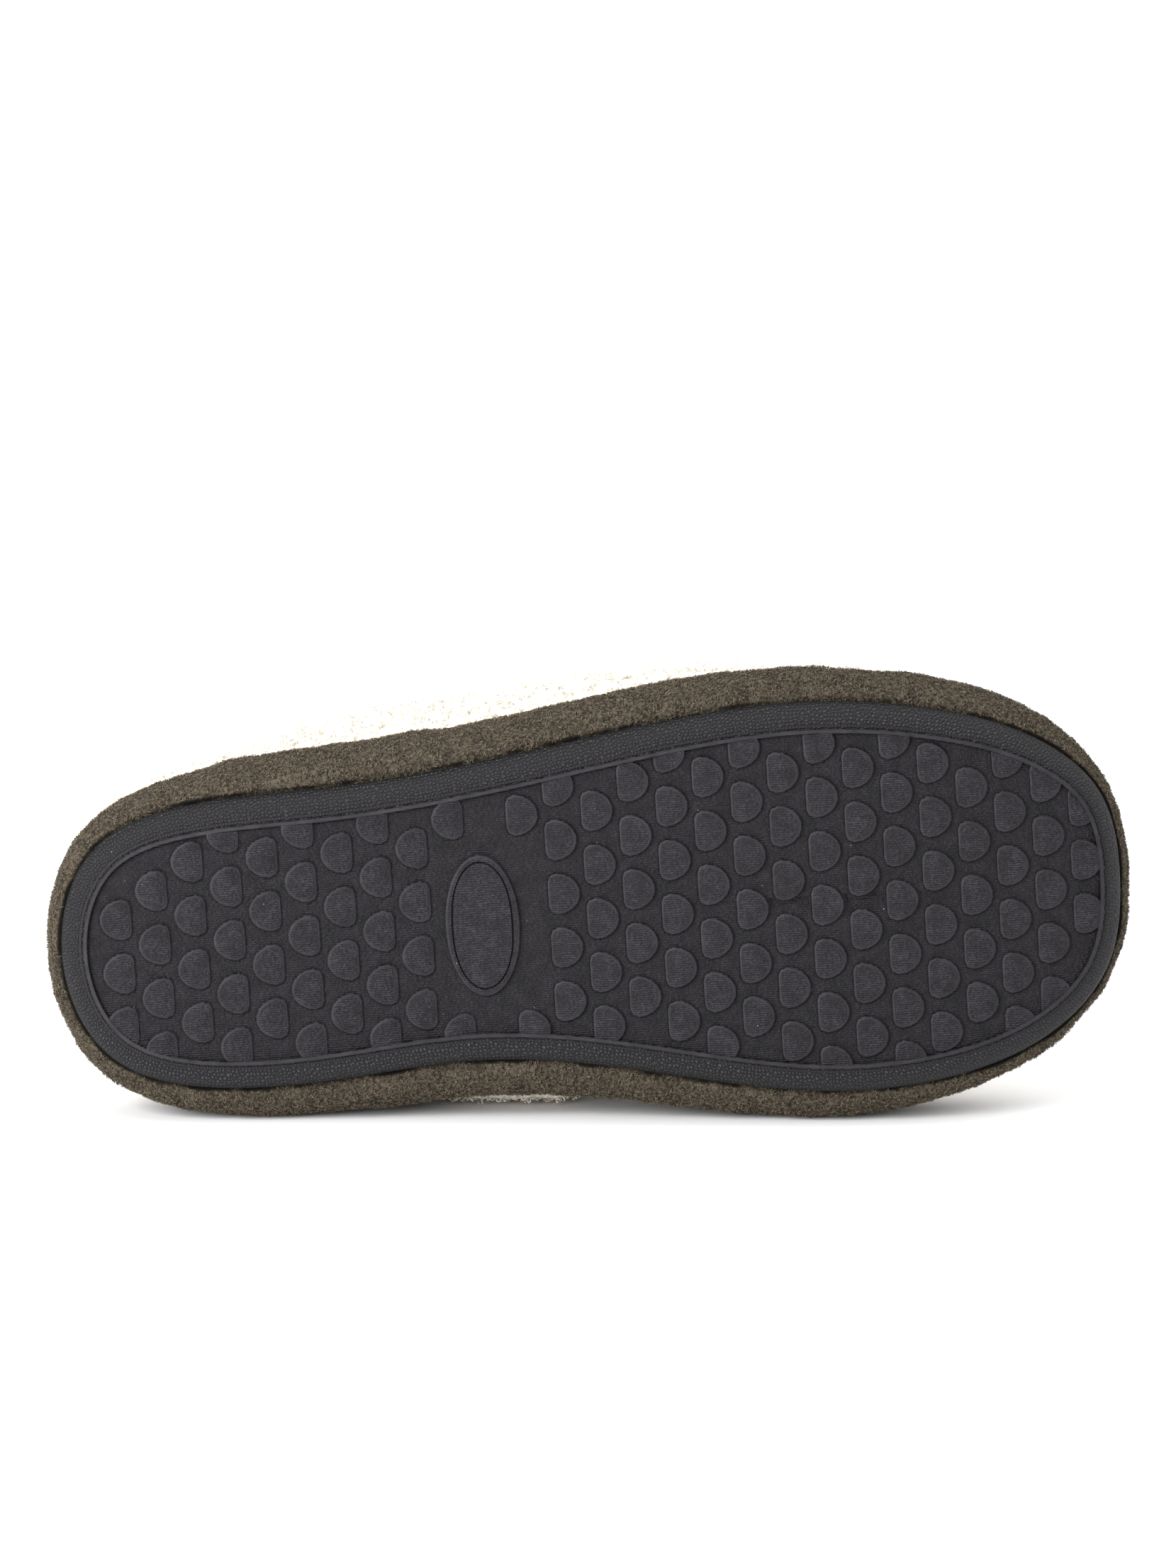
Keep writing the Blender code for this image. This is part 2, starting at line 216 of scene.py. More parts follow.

# Finish of the cloths and of their fibres: sizes in metres, shades as parts of the cloth's colour; darker roots
# are painted shade in the pile, lighter tips painted light.
Fibre = namedtuple("Fibre", "root tip spread sheen")
FLEECE_FIBRE = Fibre(0.27, 1.6, 0.65, 0.6)
SHERPA_FIBRE = Fibre(0.94, 1.05, 0.04, 0.3)
WAIST_FIBRE = Fibre(0.8, 1.0, 0.12, 0.2)
FIBRE_ROUGH = 0.9
FIBRE_SHEEN_ROUGH = 0.4
CLOTH_ROUGH = 0.95
CLOTH_GLOSS = 0.1
FLEECE_FINE = 0.0008
FLEECE_BROAD = 0.006
FLEECE_PATCH = (0.85, 1.15)
# Shades of the fleece cloth: black in the crease and dark under the fibres, as painted shade.
FLEECE_SHADES = (0.06, 0.14, 0.4, 0.9)
FLEECE_STOPS = (0.32, 0.5, 0.68)
FLEECE_DEEP = 0.0006
FLEECE_BUMP = 0.8
SHERPA_FINE = 0.0016
# Warm tint of the painted shade in the sherpa cloth's hollows.
SHERPA_WARM = (1.0, 0.97, 0.92)
SHERPA_LIGHT = 1.04
SHERPA_STOPS = (0.3, 0.62)
SHERPA_DEEP = 0.0008
SHERPA_BUMP = 0.7
# Shares of the sherpa colour left in the cloth's hollows, as painted shade.
UPPER_HOLLOW_SHADE = 0.62
FOOTBED_HOLLOW_SHADE = 0.7

# Crease, seam and lining, in the shoe's millimetres; the crease between rubber and fleece is painted black as
# shade.
FACING_IN = 0.1
LINING_UP = 9.5
SEAM_UP = 28.0
SEAM_REACH = 36.0
SEAM_SINK = 1.9
CREASE_PARTS = 8
CREASE_DARK = (1.15, 1.5)
NAP_CLEAR = 1.35

# Maps of the fibres and of the border.
PILE_MAP = "OFBake"
MAP_ENDS = (0.02, 0.98)
MAP_ASIDE = (-0.02, 0.02)
MAP_TONE = 0.9
MAP_TONE_LOW = 0.05
EDGE_MAP = "edge_run"

# Pile: sizes in metres, and seeds of its random draws.
FLOOR_CLEAR = 0.0002
ROUND_LEVELS = 3
PILE_PIECES = 2
SWIRL_WAVES = 24
LOCK_SEED = 7
NAP_SEED = 11
CURL_SEED = 31
WAIST_SEED = 41
LINING_SEED = 51
LOCK_RADIUS = 0.00065
NAP_SWIRL = 0.0030
NAP_STRAY = 0.7
NAP_ROOT = 0.0002
NAP_BEND = 0.55
NAP_DROOP = 0.6
NAP_REACH = 1.7
NAP_WIDTH = 0.00018
NAP_HEIGHT = (0.65, 1.2)
NAP_VARY = (0.8, 1.15)
NAP_SHORTER = 0.5
NAP_PULL = (0.2, 0.6)
NAP_TWIST = 0.4
NAP_LOCK_TONE = 0.3
NAP_OWN_TONE = 0.4
# Fibres at the middle of a lock are lighter than at its edge, as painted shade between the locks.
NAP_LOCK_EDGE_SHADE = 0.3
CURL_SWIRL = 0.006
CURL_LEAN = 0.5
CURL_WIND = (3.0, 5.5)
CURL_RADIUS = (0.0005, 0.0010)
CURL_VARY = (0.55, 1.2)
CURL_OPEN = 1.3
CURL_TWIST = 0.5
CURL_HOOK = 2.75
CURL_ROOT = 0.0004
CURL_STEPS = 5
CURL_WIDTH = 0.00058
CURL_TIP = 0.6

# Pile that shows under the band where the waist stands clear of the floor, in the row frame; its curls are
# tinted darker as painted shade.
WAIST_MIDDLE = (-0.0205, -0.0085, 0.0030)
WAIST_SIZE = (0.0205, 0.0046, 0.0015)
WAIST_SEGMENTS = 40
WAIST_RINGS = 20
WAIST_CURLS = 600
WAIST_SHADE_TINT = (0.95, 0.89, 0.82)
WAIST_CURL = 0.0009

# Uneven surface of the soft pieces: blobs of a size, and their height about a middle level, in metres.
Relief = namedtuple("Relief", "name kind size height middle")
BAND_RELIEFS = (
    Relief("band_lumps", "CLOUDS", 0.011, 0.0012, 0.85),
    Relief("band_tufts", "CLOUDS", 0.0028, 0.0006, 0.5),
)
UPPER_RELIEFS = (
    Relief("upper_lumps", "CLOUDS", 0.016, 0.0016, 0.5),
    Relief("upper_nubs", "VORONOI", 0.0048, -0.0022, 0.45),
)
WAIST_RELIEFS = (Relief("waist_lumps", "CLOUDS", 0.003, 0.0016, 0.5),)
FOOTBED_RELIEFS = (Relief("footbed_nubs", "VORONOI", 0.0042, -0.0009, 0.5),)

# Soft folds and swells: a path in the shoe's axes, its width, and its push inwards and up.
Fold = namedtuple("Fold", "name path width inwards up")
BAND_FOLDS = (
    Fold("heel swell", ((45, -37, 18), (89, -39, 18)), 9.0, -1.9, 0.0),
    Fold("waist pinch", ((96, 46, 24), (118, 46, 24)), 6.0, 0.8, 0.0),
    Fold("ball pinch", ((192, -58, 26), (208, -57, 20)), 5.0, 0.8, 0.0),
)
UPPER_FOLDS = (
    Fold("vamp ridge",
         ((157, -42, 58), (160, -22, 66), (161, 0, 69),
          (160, 22, 66), (157, 40, 57)),
         6.0, 0.0, 1.2),
    Fold("vamp bend",
         ((168, -42, 56), (173, -22, 66), (175, 0, 68),
          (173, 22, 66), (168, 40, 56)),
         6.0, 0.0, -2.8),
    Fold("toe bend",
         ((188, -40, 55), (192, -20, 64), (193, 0, 66),
          (192, 20, 64), (188, 38, 54)),
         5.0, 0.0, -1.6),
    Fold("throat outer", ((136, -20, 64), (146, -38, 60), (150, -52, 52)), 5.0, 1.0, -2.0),
    Fold("throat inner", ((136, 18, 64), (146, 34, 60), (150, 46, 51)), 5.0, 1.0, -2.0),
    Fold("collar outer",
         ((126, -57, 47), (100, -56, 46), (60, -49, 46),
          (20, -39, 46), (2, -22, 46)),
         5.0, 2.6, 0.0),
    Fold("collar inner",
         ((126, 49, 47), (100, 48, 46), (60, 46, 46),
          (20, 40, 46), (2, 22, 46)),
         5.0, 2.6, 0.0),
    Fold("collar heel", ((2, -22, 46), (-2, 0, 46), (2, 22, 46)), 5.0, 2.4, 0.0),
)

# Footbed: how far its upper edge spreads to the lining, which way is up on it, and its even mesh.
FOOTBED_IN = 5.0
FOOTBED_UP = 11.0
FOOTBED_WIDTH = 3.0
FOOTBED_SPREAD = 1.7
FOOTBED_STRIDE = 10
FOOTBED_FACING = 0.5
FOOTBED_VOXEL = 0.002
FOOTBED_SOFTEN = 4

# Stage.
FLOOR_RADIUS = 60.0
FLOOR_SIDES = 96
PAPER_COLOUR = (0.95, 0.95, 0.955, 1.0)
PAPER_ROUGH = 0.9
PAPER_GLOSS = 0.1
SKY_TURN = (-0.9, 0.1)
KEY_PLACE = Vector((-0.60, -0.70, 0.36))
KEY_SIZE = 0.6
BACK_PLACE = Vector((0.72, 0.12, 0.68))
BACK_SPREAD = np.radians(60.0)
SENSOR = 36.0


def shoe_to_row():
    """Matrix from the shoe's own axes, in metres, to the row frame, read from the pad's mount."""
    mount = next(row for row in frame["record"]["mounts"] if row["name"] == "tread_pad")
    up = -Vector(mount["axis"]).normalized()
    along = Vector((-up.z, 0.0, up.x)).normalized()
    turn = Matrix((along, up.cross(along), up)).transposed()
    base = Vector(mount["pos_m"]) - turn @ Vector((PAD_ALONG * MM, 0.0, 0.0))
    return Matrix.Translation(base) @ turn.to_4x4()


TO_ROW = np.array(shoe_to_row())
TO_SHOE = np.linalg.inv(TO_ROW)


def in_row(points):
    """Points of the shoe, in millimetres, as points of the row frame in metres."""
    return np.asarray(points) * MM @ TO_ROW[:3, :3].T + TO_ROW[:3, 3]


def in_shoe(points):
    """Points of the row frame, in metres, as points of the shoe in millimetres."""
    return (np.asarray(points) @ TO_SHOE[:3, :3].T + TO_SHOE[:3, 3]) / MM


def closed_spline(knots, period, values, at):
    """Read a smooth closed curve, through values at the knots, at the given places."""
    count = len(knots)
    step = np.diff(np.append(knots, knots[0] + period))
    rise = (np.roll(values, -1, axis=0) - values) / step[:, None]
    system = np.zeros((count, count))
    for i in range(count):
        system[i, i - 1] += step[i - 1]
        system[i, i] += 2 * (step[i - 1] + step[i])
        system[i, (i + 1) % count] += step[i]
    bend = np.linalg.solve(system, 6 * (rise - np.roll(rise, 1, axis=0)))
    at = (at - knots[0]) % period + knots[0]
    left = np.searchsorted(knots, at, side="right") - 1
    right = (left + 1) % count
    s = (at - knots[left])[:, None]
    h = step[left][:, None]
    slope = rise[left] - h * (2 * bend[left] + bend[right]) / 6
    turn = (bend[right] - bend[left]) / (6 * h)
    return values[left] + s * slope + s ** 2 * bend[left] / 2 + s ** 3 * turn


def read_edge():
    """Points of the rubber edge, outward directions and border width, all round the sole."""
    table = np.array([row[1:] for row in SOLE_EDGE])
    steps = np.linalg.norm(np.roll(table[:, :2], -1, axis=0) - table[:, :2], axis=1)
    places = np.concatenate(([0.0], np.cumsum(steps)[:-1]))
    at = np.linspace(0.0, steps.sum(), EDGE_STATIONS, endpoint=False)
    here = closed_spline(places, steps.sum(), table, at)
    ahead = closed_spline(places, steps.sum(), table, at + EDGE_STEP)
    behind = closed_spline(places, steps.sum(), table, at - EDGE_STEP)
    run = ahead[:, :2] - behind[:, :2]
    run /= np.linalg.norm(run, axis=1)[:, None]
    return here[:, :2], np.column_stack((-run[:, 1], run[:, 0])), here[:, 2]


EDGE, OUTWARD, BORDER = read_edge()


def spring(along):
    """Lift of the sole along the shoe: toe spring and the small roll of the heel."""
    toe = np.clip((along - SPRING_START) / (SOLE_LENGTH - SPRING_START), 0.0, None)
    heel = np.clip((HEEL_ROLL_END - along) / HEEL_ROLL_END, 0.0, None)
    return TOE_SPRING * toe ** 2 + HEEL_ROLL * heel ** 2


def lifted(points):
    """The same points with the sole's spring added to their height."""
    return points + np.outer(spring(points[:, 0]), (0.0, 0.0, 1.0))


def ring(out, up):
    """Loop of points round the sole, at a distance out from the rubber edge and a height."""
    flat = EDGE + OUTWARD * np.broadcast_to(out, EDGE_STATIONS)[:, None]
    return np.column_stack((flat, np.broadcast_to(up, EDGE_STATIONS)))


def clear_selection():
    """Leave nothing selected or active, as a new piece starts."""
    if bpy.context.object and bpy.context.object.mode != "OBJECT":
        bpy.ops.object.mode_set(mode="OBJECT")
    bpy.ops.object.select_all(action="DESELECT")
    bpy.context.view_layer.objects.active = None


def pick(piece):
    """Select one piece alone and make it active."""
    clear_selection()
    piece.select_set(True)
    bpy.context.view_layer.objects.active = piece


def apply_modifier(piece, name, kind, **settings):
    """Add a modifier with its settings and apply it."""
    pick(piece)
    change = piece.modifiers.new(name, kind)
    for key, value in settings.items():
        setattr(change, key, value)
    bpy.ops.object.modifier_apply(modifier=change.name)


def finish_piece(piece, finishes, node=None):
    """Give a piece its finishes and its body, and hide the solid that it stands for."""
    if piece.data.materials:
        piece.data.materials.clear()
    for finish in finishes:
        piece.data.materials.append(finish)
    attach(piece, BODY)
    if node:
        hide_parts(node)


def mesh_piece(name, points, faces):
    """New mesh object from points in the row frame and faces."""
    data = bpy.data.meshes.new(name)
    data.from_pydata(points, [], faces)
    piece = bpy.data.objects.new(name, data)
    bpy.context.scene.collection.objects.link(piece)
    return piece


def points_of(piece):
    """Vertices of a piece as an array."""
    places = np.zeros(len(piece.data.vertices) * 3)
    piece.data.vertices.foreach_get("co", places)
    return places.reshape(-1, 3)


def move_points(piece, places):
    """Put the vertices of a piece at the given places."""
    piece.data.vertices.foreach_set("co", np.asarray(places, np.float32).ravel())
    piece.data.update()


def set_tone(piece, tones):
    """Write one tone for each vertex, which the finishes read."""
    layer = piece.data.attributes.new("tone", "FLOAT", "POINT")
    layer.data.foreach_set("value", np.asarray(tones, np.float32))


class Finish:
    """A node material with a Principled shader, and short ways to add nodes to it."""

    def __init__(self, name, roughness, **sockets):
        self.material = bpy.data.materials.new(name)
        self.material.use_nodes = True
        self.tree = self.material.node_tree
        self.shader = self.tree.nodes["Principled BSDF"]
        self.shader.inputs["Roughness"].default_value = roughness
        for key, value in sockets.items():
            self.shader.inputs[key.replace("_", " ")].default_value = value

    def node(self, kind, inputs=None, **settings):
        """Add a node, set its properties, and set or link its inputs."""
        made = self.tree.nodes.new(kind)
        for key, value in settings.items():
            setattr(made, key, value)
        for key, value in (inputs or {}).items():
            self.feed(made.inputs[key], value)
        return made

    def feed(self, socket, value):
        """Link an output to a socket, or set the socket's own value."""
        if isinstance(value, bpy.types.NodeSocket):
            self.tree.links.new(value, socket)
        else:
            socket.default_value = value

    def place(self, turn=(0.0, 0.0, 0.0), stretch=1.0):
        """The piece's own coordinates, turned, with patterns drawn out along X."""
        coordinates = self.node("ShaderNodeTexCoord").outputs["Object"]
        inputs = {"Vector": coordinates, "Rotation": turn, "Scale": (1.0 / stretch, 1.0, 1.0)}
        return self.node("ShaderNodeMapping", inputs).outputs["Vector"]

    def noise(self, place, size, detail=2.0):
        """Noise with blobs of a size in metres, about a half."""
        inputs = {"Vector": place, "Scale": 1.0 / size, "Detail": detail}
        return self.node("ShaderNodeTexNoise", inputs).outputs["Fac"]

    def ramp(self, factor, stops):
        """Colours or greys at places from 0 to 1."""
        made = self.node("ShaderNodeValToRGB", {"Fac": factor})
        points = made.color_ramp.elements
        while len(points) < len(stops):
            points.new(1.0)
        for point, (place, colour) in zip(points, stops):
            point.position = place
            point.color = (*colour, 1.0)
        return made.outputs["Color"]

    def remap(self, value, low, high, to_low=0.0, to_high=1.0):
        """A value moved from one range to another, and held inside it."""
        inputs = {"Value": value, "From Min": low, "From Max": high, "To Min": to_low, "To Max": to_high}
        return self.node("ShaderNodeMapRange", inputs).outputs["Result"]

    def maths(self, operation, first, second):
        """Two values joined by one operation."""
        return self.node("ShaderNodeMath", {0: first, 1: second}, operation=operation).outputs["Value"]

    def mix(self, factor, first, second, blend="MIX"):
        """Two colours mixed by a factor."""
        made = self.node("ShaderNodeMix", data_type="RGBA", blend_type=blend)
        for index, value in ((0, factor), (6, first), (7, second)):
            self.feed(made.inputs[index], value)
        return made.outputs[2]

    def tone(self):
        """The tone written on the piece's vertices."""
        return self.node("ShaderNodeAttribute", attribute_name="tone").outputs["Fac"]

    def shaded(self, colour, light):
        """A colour made darker or lighter by a value."""
        grey = self.node("ShaderNodeCombineColor", {0: light, 1: light, 2: light}).outputs[0]
        return self.mix(1.0, colour, grey, blend="MULTIPLY")

    def creased(self, black, colour):
        """A colour that goes black where the piece's tone does: painted shade in creases and corners."""
        return self.mix(self.remap(self.tone(), PAINTED_SHADE_TONE, PLAIN_TONE), (*black, 1.0), colour)

    def bump(self, height, deep, strength):
        """Normals of a relief whose full height is given in metres."""
        inputs = {"Height": height, "Distance": deep, "Strength": strength}
        return self.node("ShaderNodeBump", inputs).outputs["Normal"]

    def wear(self, **sockets):
        """Link values to the shader's sockets and give back the material."""
        for key, value in sockets.items():
            self.feed(self.shader.inputs[key.replace("_", " ")], value)
        return self.material


def shades(colour, *factors):
    """The colour made darker or lighter by each factor."""
    return [tuple(min(1.0, part * factor) for part in colour) for factor in factors]


def tinted(colour, tint):
    """The colour with each of its parts scaled."""
    return tuple(part * share for part, share in zip(colour, tint))


class SoleSettings(bpy.types.PropertyGroup):
    """Rubber of the sole"""

    rubber: FloatVectorProperty(
        name="Rubber", description="Colour of the tread", subtype="COLOR", default=(0.0162, 0.0138, 0.0180)
    )
    border: FloatVectorProperty(
        name="Border", description="Colour of the rolled border", subtype="COLOR",
        default=(0.0096, 0.0081, 0.0109),
    )
    dust: FloatVectorProperty(
        name="Dust", description="Colour of the dust specks", subtype="COLOR", default=(0.36, 0.35, 0.34)
    )
    rib: FloatProperty(
        name="Rib Pitch", description="Distance between the fine ribs", subtype="DISTANCE", default=0.00058
    )
    grain: FloatProperty(
        name="Grain", description="Size of the border's pebbles", subtype="DISTANCE", default=0.00096
    )


class FleeceSettings(bpy.types.PropertyGroup):
    """Short olive fleece of the band"""

    colour: FloatVectorProperty(
        name="Colour", description="Middle colour of the fleece", subtype="COLOR",
        default=(0.102, 0.084, 0.061),
    )
    nap: FloatProperty(
        name="Nap Length", description="Length of the short fibres", subtype="DISTANCE", default=0.00055
    )
    fibres: IntProperty(name="Fibres", description="Number of fibres in each of two pieces", default=53000)
    locks: IntProperty(
        name="Locks", description="Number of small locks that the fibres gather in", default=20000
    )


class SherpaSettings(bpy.types.PropertyGroup):
    """Cream curly pile of the upper, its lining and the footbed"""

    colour: FloatVectorProperty(
        name="Colour", description="Middle colour of the pile", subtype="COLOR", default=(0.92, 0.88, 0.80)
    )
    curl: FloatProperty(
        name="Curl Height", description="Height of the curls", subtype="DISTANCE", default=0.0021
    )
    curls: IntProperty(name="Curls", description="Number of curls in each of two pieces", default=18500)
    lining: IntProperty(
        name="Lining Curls", description="Number of curls on footbed and on lining", default=4000
    )


class StageSettings(bpy.types.PropertyGroup):
    """Floor, lights and camera"""

    elevation: FloatProperty(
        name="Elevation", description="Height angle of the camera", subtype="ANGLE", default=np.radians(9.5)
    )
    distance: FloatProperty(
        name="Distance", description="From the camera to its target", subtype="DISTANCE", default=1.30
    )
    aim_up: FloatProperty(
        name="Aim Up", description="Target above the shoe's middle", subtype="DISTANCE", default=0.0302
    )
    frame_height: FloatProperty(
        name="Frame Height", description="Height of the picture at the target", subtype="DISTANCE",
        default=0.3919,
    )
    sky: FloatProperty(name="Sky", description="Strength of the white surroundings", default=0.83)
    front: FloatProperty(
        name="Front", description="Strength of the surroundings in front of the sole", default=0.85
    )
    key: FloatProperty(name="Key", description="Power of the key light", default=14.5)
    back: FloatProperty(name="Back", description="Strength of the light from behind", default=1.6)


def sole_turn():
    """Turn that lays the sole flat for patterns: the shoe's length along X, its width along Y."""
    along = TO_ROW[:3, 0]
    return (-np.pi / 2, 0.0, -np.arctan2(along[2], along[0]))


def dusty(finish, place, colour, dust):
    """Sparse pale specks over a colour."""
    specks = finish.node("ShaderNodeTexVoronoi", {"Vector": place, "Scale": 1 / SPECK_SPACING})
    near = finish.remap(specks.outputs["Distance"], *SPECK_EDGE, 1.0, 0.0)
    parts = finish.node("ShaderNodeSeparateColor", {"Color": specks.outputs["Color"]})
    kept = finish.remap(parts.outputs["Red"], *SPECK_KEPT)
    return finish.mix(finish.maths("MULTIPLY", near, kept), colour, (*dust, 1.0))


def tread_finish(settings):
    """Charcoal rubber moulded like cloth in rows of short ribs, with painted shade in its corners and smooth
    lips.
    """
    finish = Finish("charcoal_tread_rubber", TREAD_ROUGH, Specular_IOR_Level=TREAD_GLOSS)
    place = finish.place(sole_turn())
    corner_shade, plain, rubbed = shades(settings.rubber, *TREAD_SHADES)
    tone = finish.tone()
    base = finish.ramp(tone, [(PAINTED_SHADE_TONE, corner_shade), (PLAIN_TONE, plain), (RUBBED_TONE, rubbed)])
    cloudy = finish.remap(finish.noise(place, CLOUD_SIZE, FINE_DETAIL), *NOISE_MIDDLE, *CLOUD_SHADE)
    stray = finish.maths("MULTIPLY", finish.noise(place, RIB_STRAY_SIZE, RIB_STRAY_DETAIL), RIB_STRAY)
    across = finish.node("ShaderNodeSeparateXYZ", {"Vector": place}).outputs["Y"]
    turns = finish.maths("MULTIPLY", finish.maths("ADD", across, stray), 2 * np.pi / settings.rib)
    wave = finish.remap(finish.maths("SINE", turns, 0.0), -1.0, 1.0)
    rows = finish.maths("ADD", wave, RIB_BASE)
    drawn_out = finish.place(sole_turn(), DASH_STRETCH)
    broken = finish.remap(finish.noise(drawn_out, settings.rib * DASH_SIZE), *DASH_EDGE)
    dashes = finish.maths("ADD", broken, DASH_BASE)
    ribs = finish.maths("MULTIPLY", rows, dashes)
    lip = finish.remap(tone, CAP_TONE, LIP_TONE)
    weave = finish.node("ShaderNodeMix", {0: lip, 2: ribs, 3: LIP_RELIEF}).outputs[0]
    # Colour darker in the rib grooves and lighter on their crests, as painted shade and light, times random
    # clouds of tone.
    light = finish.maths("MULTIPLY", cloudy, finish.remap(weave, *RIB_RANGE, *RIB_SHADE))
    return finish.wear(
        Base_Color=dusty(finish, place, finish.shaded(base, light), settings.dust),
        Normal=finish.bump(weave, RIB_DEEP, 1.0),
    )


def border_finish(settings):
    """Pebbled rubber of the rolled border, with a row of small teeth beside the rim, painted darker in the
    hollows as shade.
    """
    finish = Finish("pebbled_border_rubber", BORDER_ROUGH, Specular_IOR_Level=BORDER_GLOSS)
    place = finish.node("ShaderNodeUVMap", uv_map=EDGE_MAP).outputs["UV"]
    inputs = {"Vector": place, "Scale": MM / settings.grain, "Randomness": PEBBLE_STRAY}
    cells = finish.node("ShaderNodeTexVoronoi", inputs, voronoi_dimensions="2D")
    walls = finish.node("ShaderNodeTexVoronoi", inputs, voronoi_dimensions="2D", feature="DISTANCE_TO_EDGE")
    domes = finish.remap(cells.outputs["Distance"], *PEBBLE_DOME, 1.0, 0.0)
    pebbles = finish.maths("MULTIPLY", domes, finish.remap(walls.outputs["Distance"], *PEBBLE_WALL))
    parts = finish.node("ShaderNodeSeparateXYZ", {"Vector": place})
    turns = finish.maths("MULTIPLY", parts.outputs["X"], 2 * np.pi / TOOTH_PITCH)
    wave = finish.maths("SINE", turns, 0.0)
    off_row = finish.maths("ABSOLUTE", finish.maths("ADD", parts.outputs["Y"], TOOTH_IN), 0.0)
    row = finish.remap(off_row, TOOTH_WIDTH * TOOTH_FLAT, TOOTH_WIDTH, 1.0, 0.0)
    teeth = finish.remap(wave, -TOOTH_WAVE, TOOTH_WAVE)
    relief = finish.node("ShaderNodeMix", {0: row, 2: pebbles, 3: teeth}).outputs[0]
    # Dark in the hollows between pebbles and teeth as painted shade, light on their tops as painted light.
    black, dark, plain = shades(settings.border, *BORDER_SHADES)
    base = finish.mix(relief, (*dark, 1.0), (*plain, 1.0))
    return finish.wear(
        Base_Color=dusty(finish, finish.place(), finish.creased(black, base), settings.dust),
        Normal=finish.bump(relief, PEBBLE_DEEP, 1.0),
    )


def pile_finish(name, colour, fibre):
    """Fibres darker at the root and lighter at the tip, as painted shade and light in the pile, each with its
    own tone, read from their own map.
    """
    tint = (*shades(colour, 1.0 / max(colour))[0], 1.0)
    sheen = {"Sheen_Weight": fibre.sheen, "Sheen_Roughness": FIBRE_SHEEN_ROUGH, "Sheen_Tint": tint}
    finish = Finish(name, FIBRE_ROUGH, Specular_IOR_Level=CLOTH_GLOSS, **sheen)
    place = finish.node("ShaderNodeUVMap", uv_map=PILE_MAP).outputs["UV"]
    parts = finish.node("ShaderNodeSeparateXYZ", {"Vector": place})
    low, high = shades(colour, fibre.root, fibre.tip)
    base = finish.ramp(parts.outputs["Y"], [(0.0, low), (1.0, high)])
    light = finish.remap(parts.outputs["X"], 0.0, 1.0, 1.0 - fibre.spread, 1.0 + fibre.spread)
    return finish.wear(Base_Color=finish.shaded(base, light))


def fleece_finish(settings):
    """Ground cloth of the fleece, painted dark as shade between its fibres and in the hollows between its
    tufts.
    """
    finish = Finish("olive_fleece_cloth", CLOTH_ROUGH, Specular_IOR_Level=CLOTH_GLOSS)
    place = finish.place()
    fine = finish.noise(place, FLEECE_FINE, FINE_DETAIL)
    broad = finish.noise(place, FLEECE_BROAD)
    tufts = finish.maths("MULTIPLY", fine, finish.remap(broad, *NOISE_MIDDLE, *FLEECE_PATCH))
    black, *colours = shades(settings.colour, *FLEECE_SHADES)
    base = finish.ramp(tufts, list(zip(FLEECE_STOPS, colours)))
    return finish.wear(
        Base_Color=finish.creased(black, base),
        Normal=finish.bump(tufts, FLEECE_DEEP, FLEECE_BUMP),
    )


def sherpa_finish(settings, name, hollow_shade):
    """Ground cloth of the sherpa, darker and warmer where its relief sinks between its curls, as painted shade.
    """
    finish = Finish(name, CLOTH_ROUGH, Specular_IOR_Level=CLOTH_GLOSS)
    fine = finish.noise(finish.place(), SHERPA_FINE, FINE_DETAIL)
    low, high = shades(settings.colour, hollow_shade, SHERPA_LIGHT)
    return finish.wear(
        Base_Color=finish.ramp(fine, list(zip(SHERPA_STOPS, (tinted(low, SHERPA_WARM), high)))),
        Normal=finish.bump(fine, SHERPA_DEEP, SHERPA_BUMP),
    )


def place_loop(loop, points):
    """Put a loop of edit vertices at points of the shoe, lifted by its spring."""
    for vert, point in zip(loop, in_row(lifted(points))):
        vert.co = point


def sole_rings():
    """Loops of the sole from its hidden top to the middle of the tread's ground: points, tone and finish."""
    loops = [(ring(-SOLE_TOP_IN, SOLE_TOP), PAINTED_SHADE_TONE, BORDER_LOOK)]
    # The border darkens towards the crease under the fleece, as painted shade.
    for turn in np.linspace(0.0, np.pi / 2, BORDER_STEPS):
        drop = (CREASE_UP - BORDER_UP) * np.sin(turn)
        tone = min(PLAIN_TONE, CREASE_TONE * turn)
        loops.append((ring(-BORDER * (1 - np.cos(turn)), CREASE_UP - drop), tone, BORDER_LOOK))
    # The rim's corners at the border and at the ground take the darkest tone, as painted shade.
    profile = (
        (0.0, BORDER_UP + RIM_ROUND / 2, PAINTED_SHADE_TONE),
        (RIM_ROUND / 4, RIM_UP + RIM_ROUND, PLAIN_TONE),
        (RIM_ROUND, RIM_UP, RUBBED_TONE),
        (RIM - RIM_ROUND, RIM_UP, RUBBED_TONE),
        (RIM - RIM_ROUND / 4, RIM_UP + RIM_ROUND, PLAIN_TONE),
        (RIM, GROUND_UP, PAINTED_SHADE_TONE),
        (RIM + LUG_FOOT, GROUND_UP, SHADED_GROUND_TONE),
    )
    for inset, up, tone in profile:
        loops.append((ring(-BORDER - inset, up), tone, TREAD_LOOK))
    edge = loops[-1][0]
    spine = np.column_stack((np.clip(edge[:, 0], *SPINE_ENDS), np.zeros(EDGE_STATIONS), edge[:, 2]))
    # The tread's ground takes the darker ground tone, painted shade between the lugs.
    for share in SPINE_SHARES:
        loops.append((spine + (edge - spine) * share, SHADED_GROUND_TONE, TREAD_LOOK))
    return loops


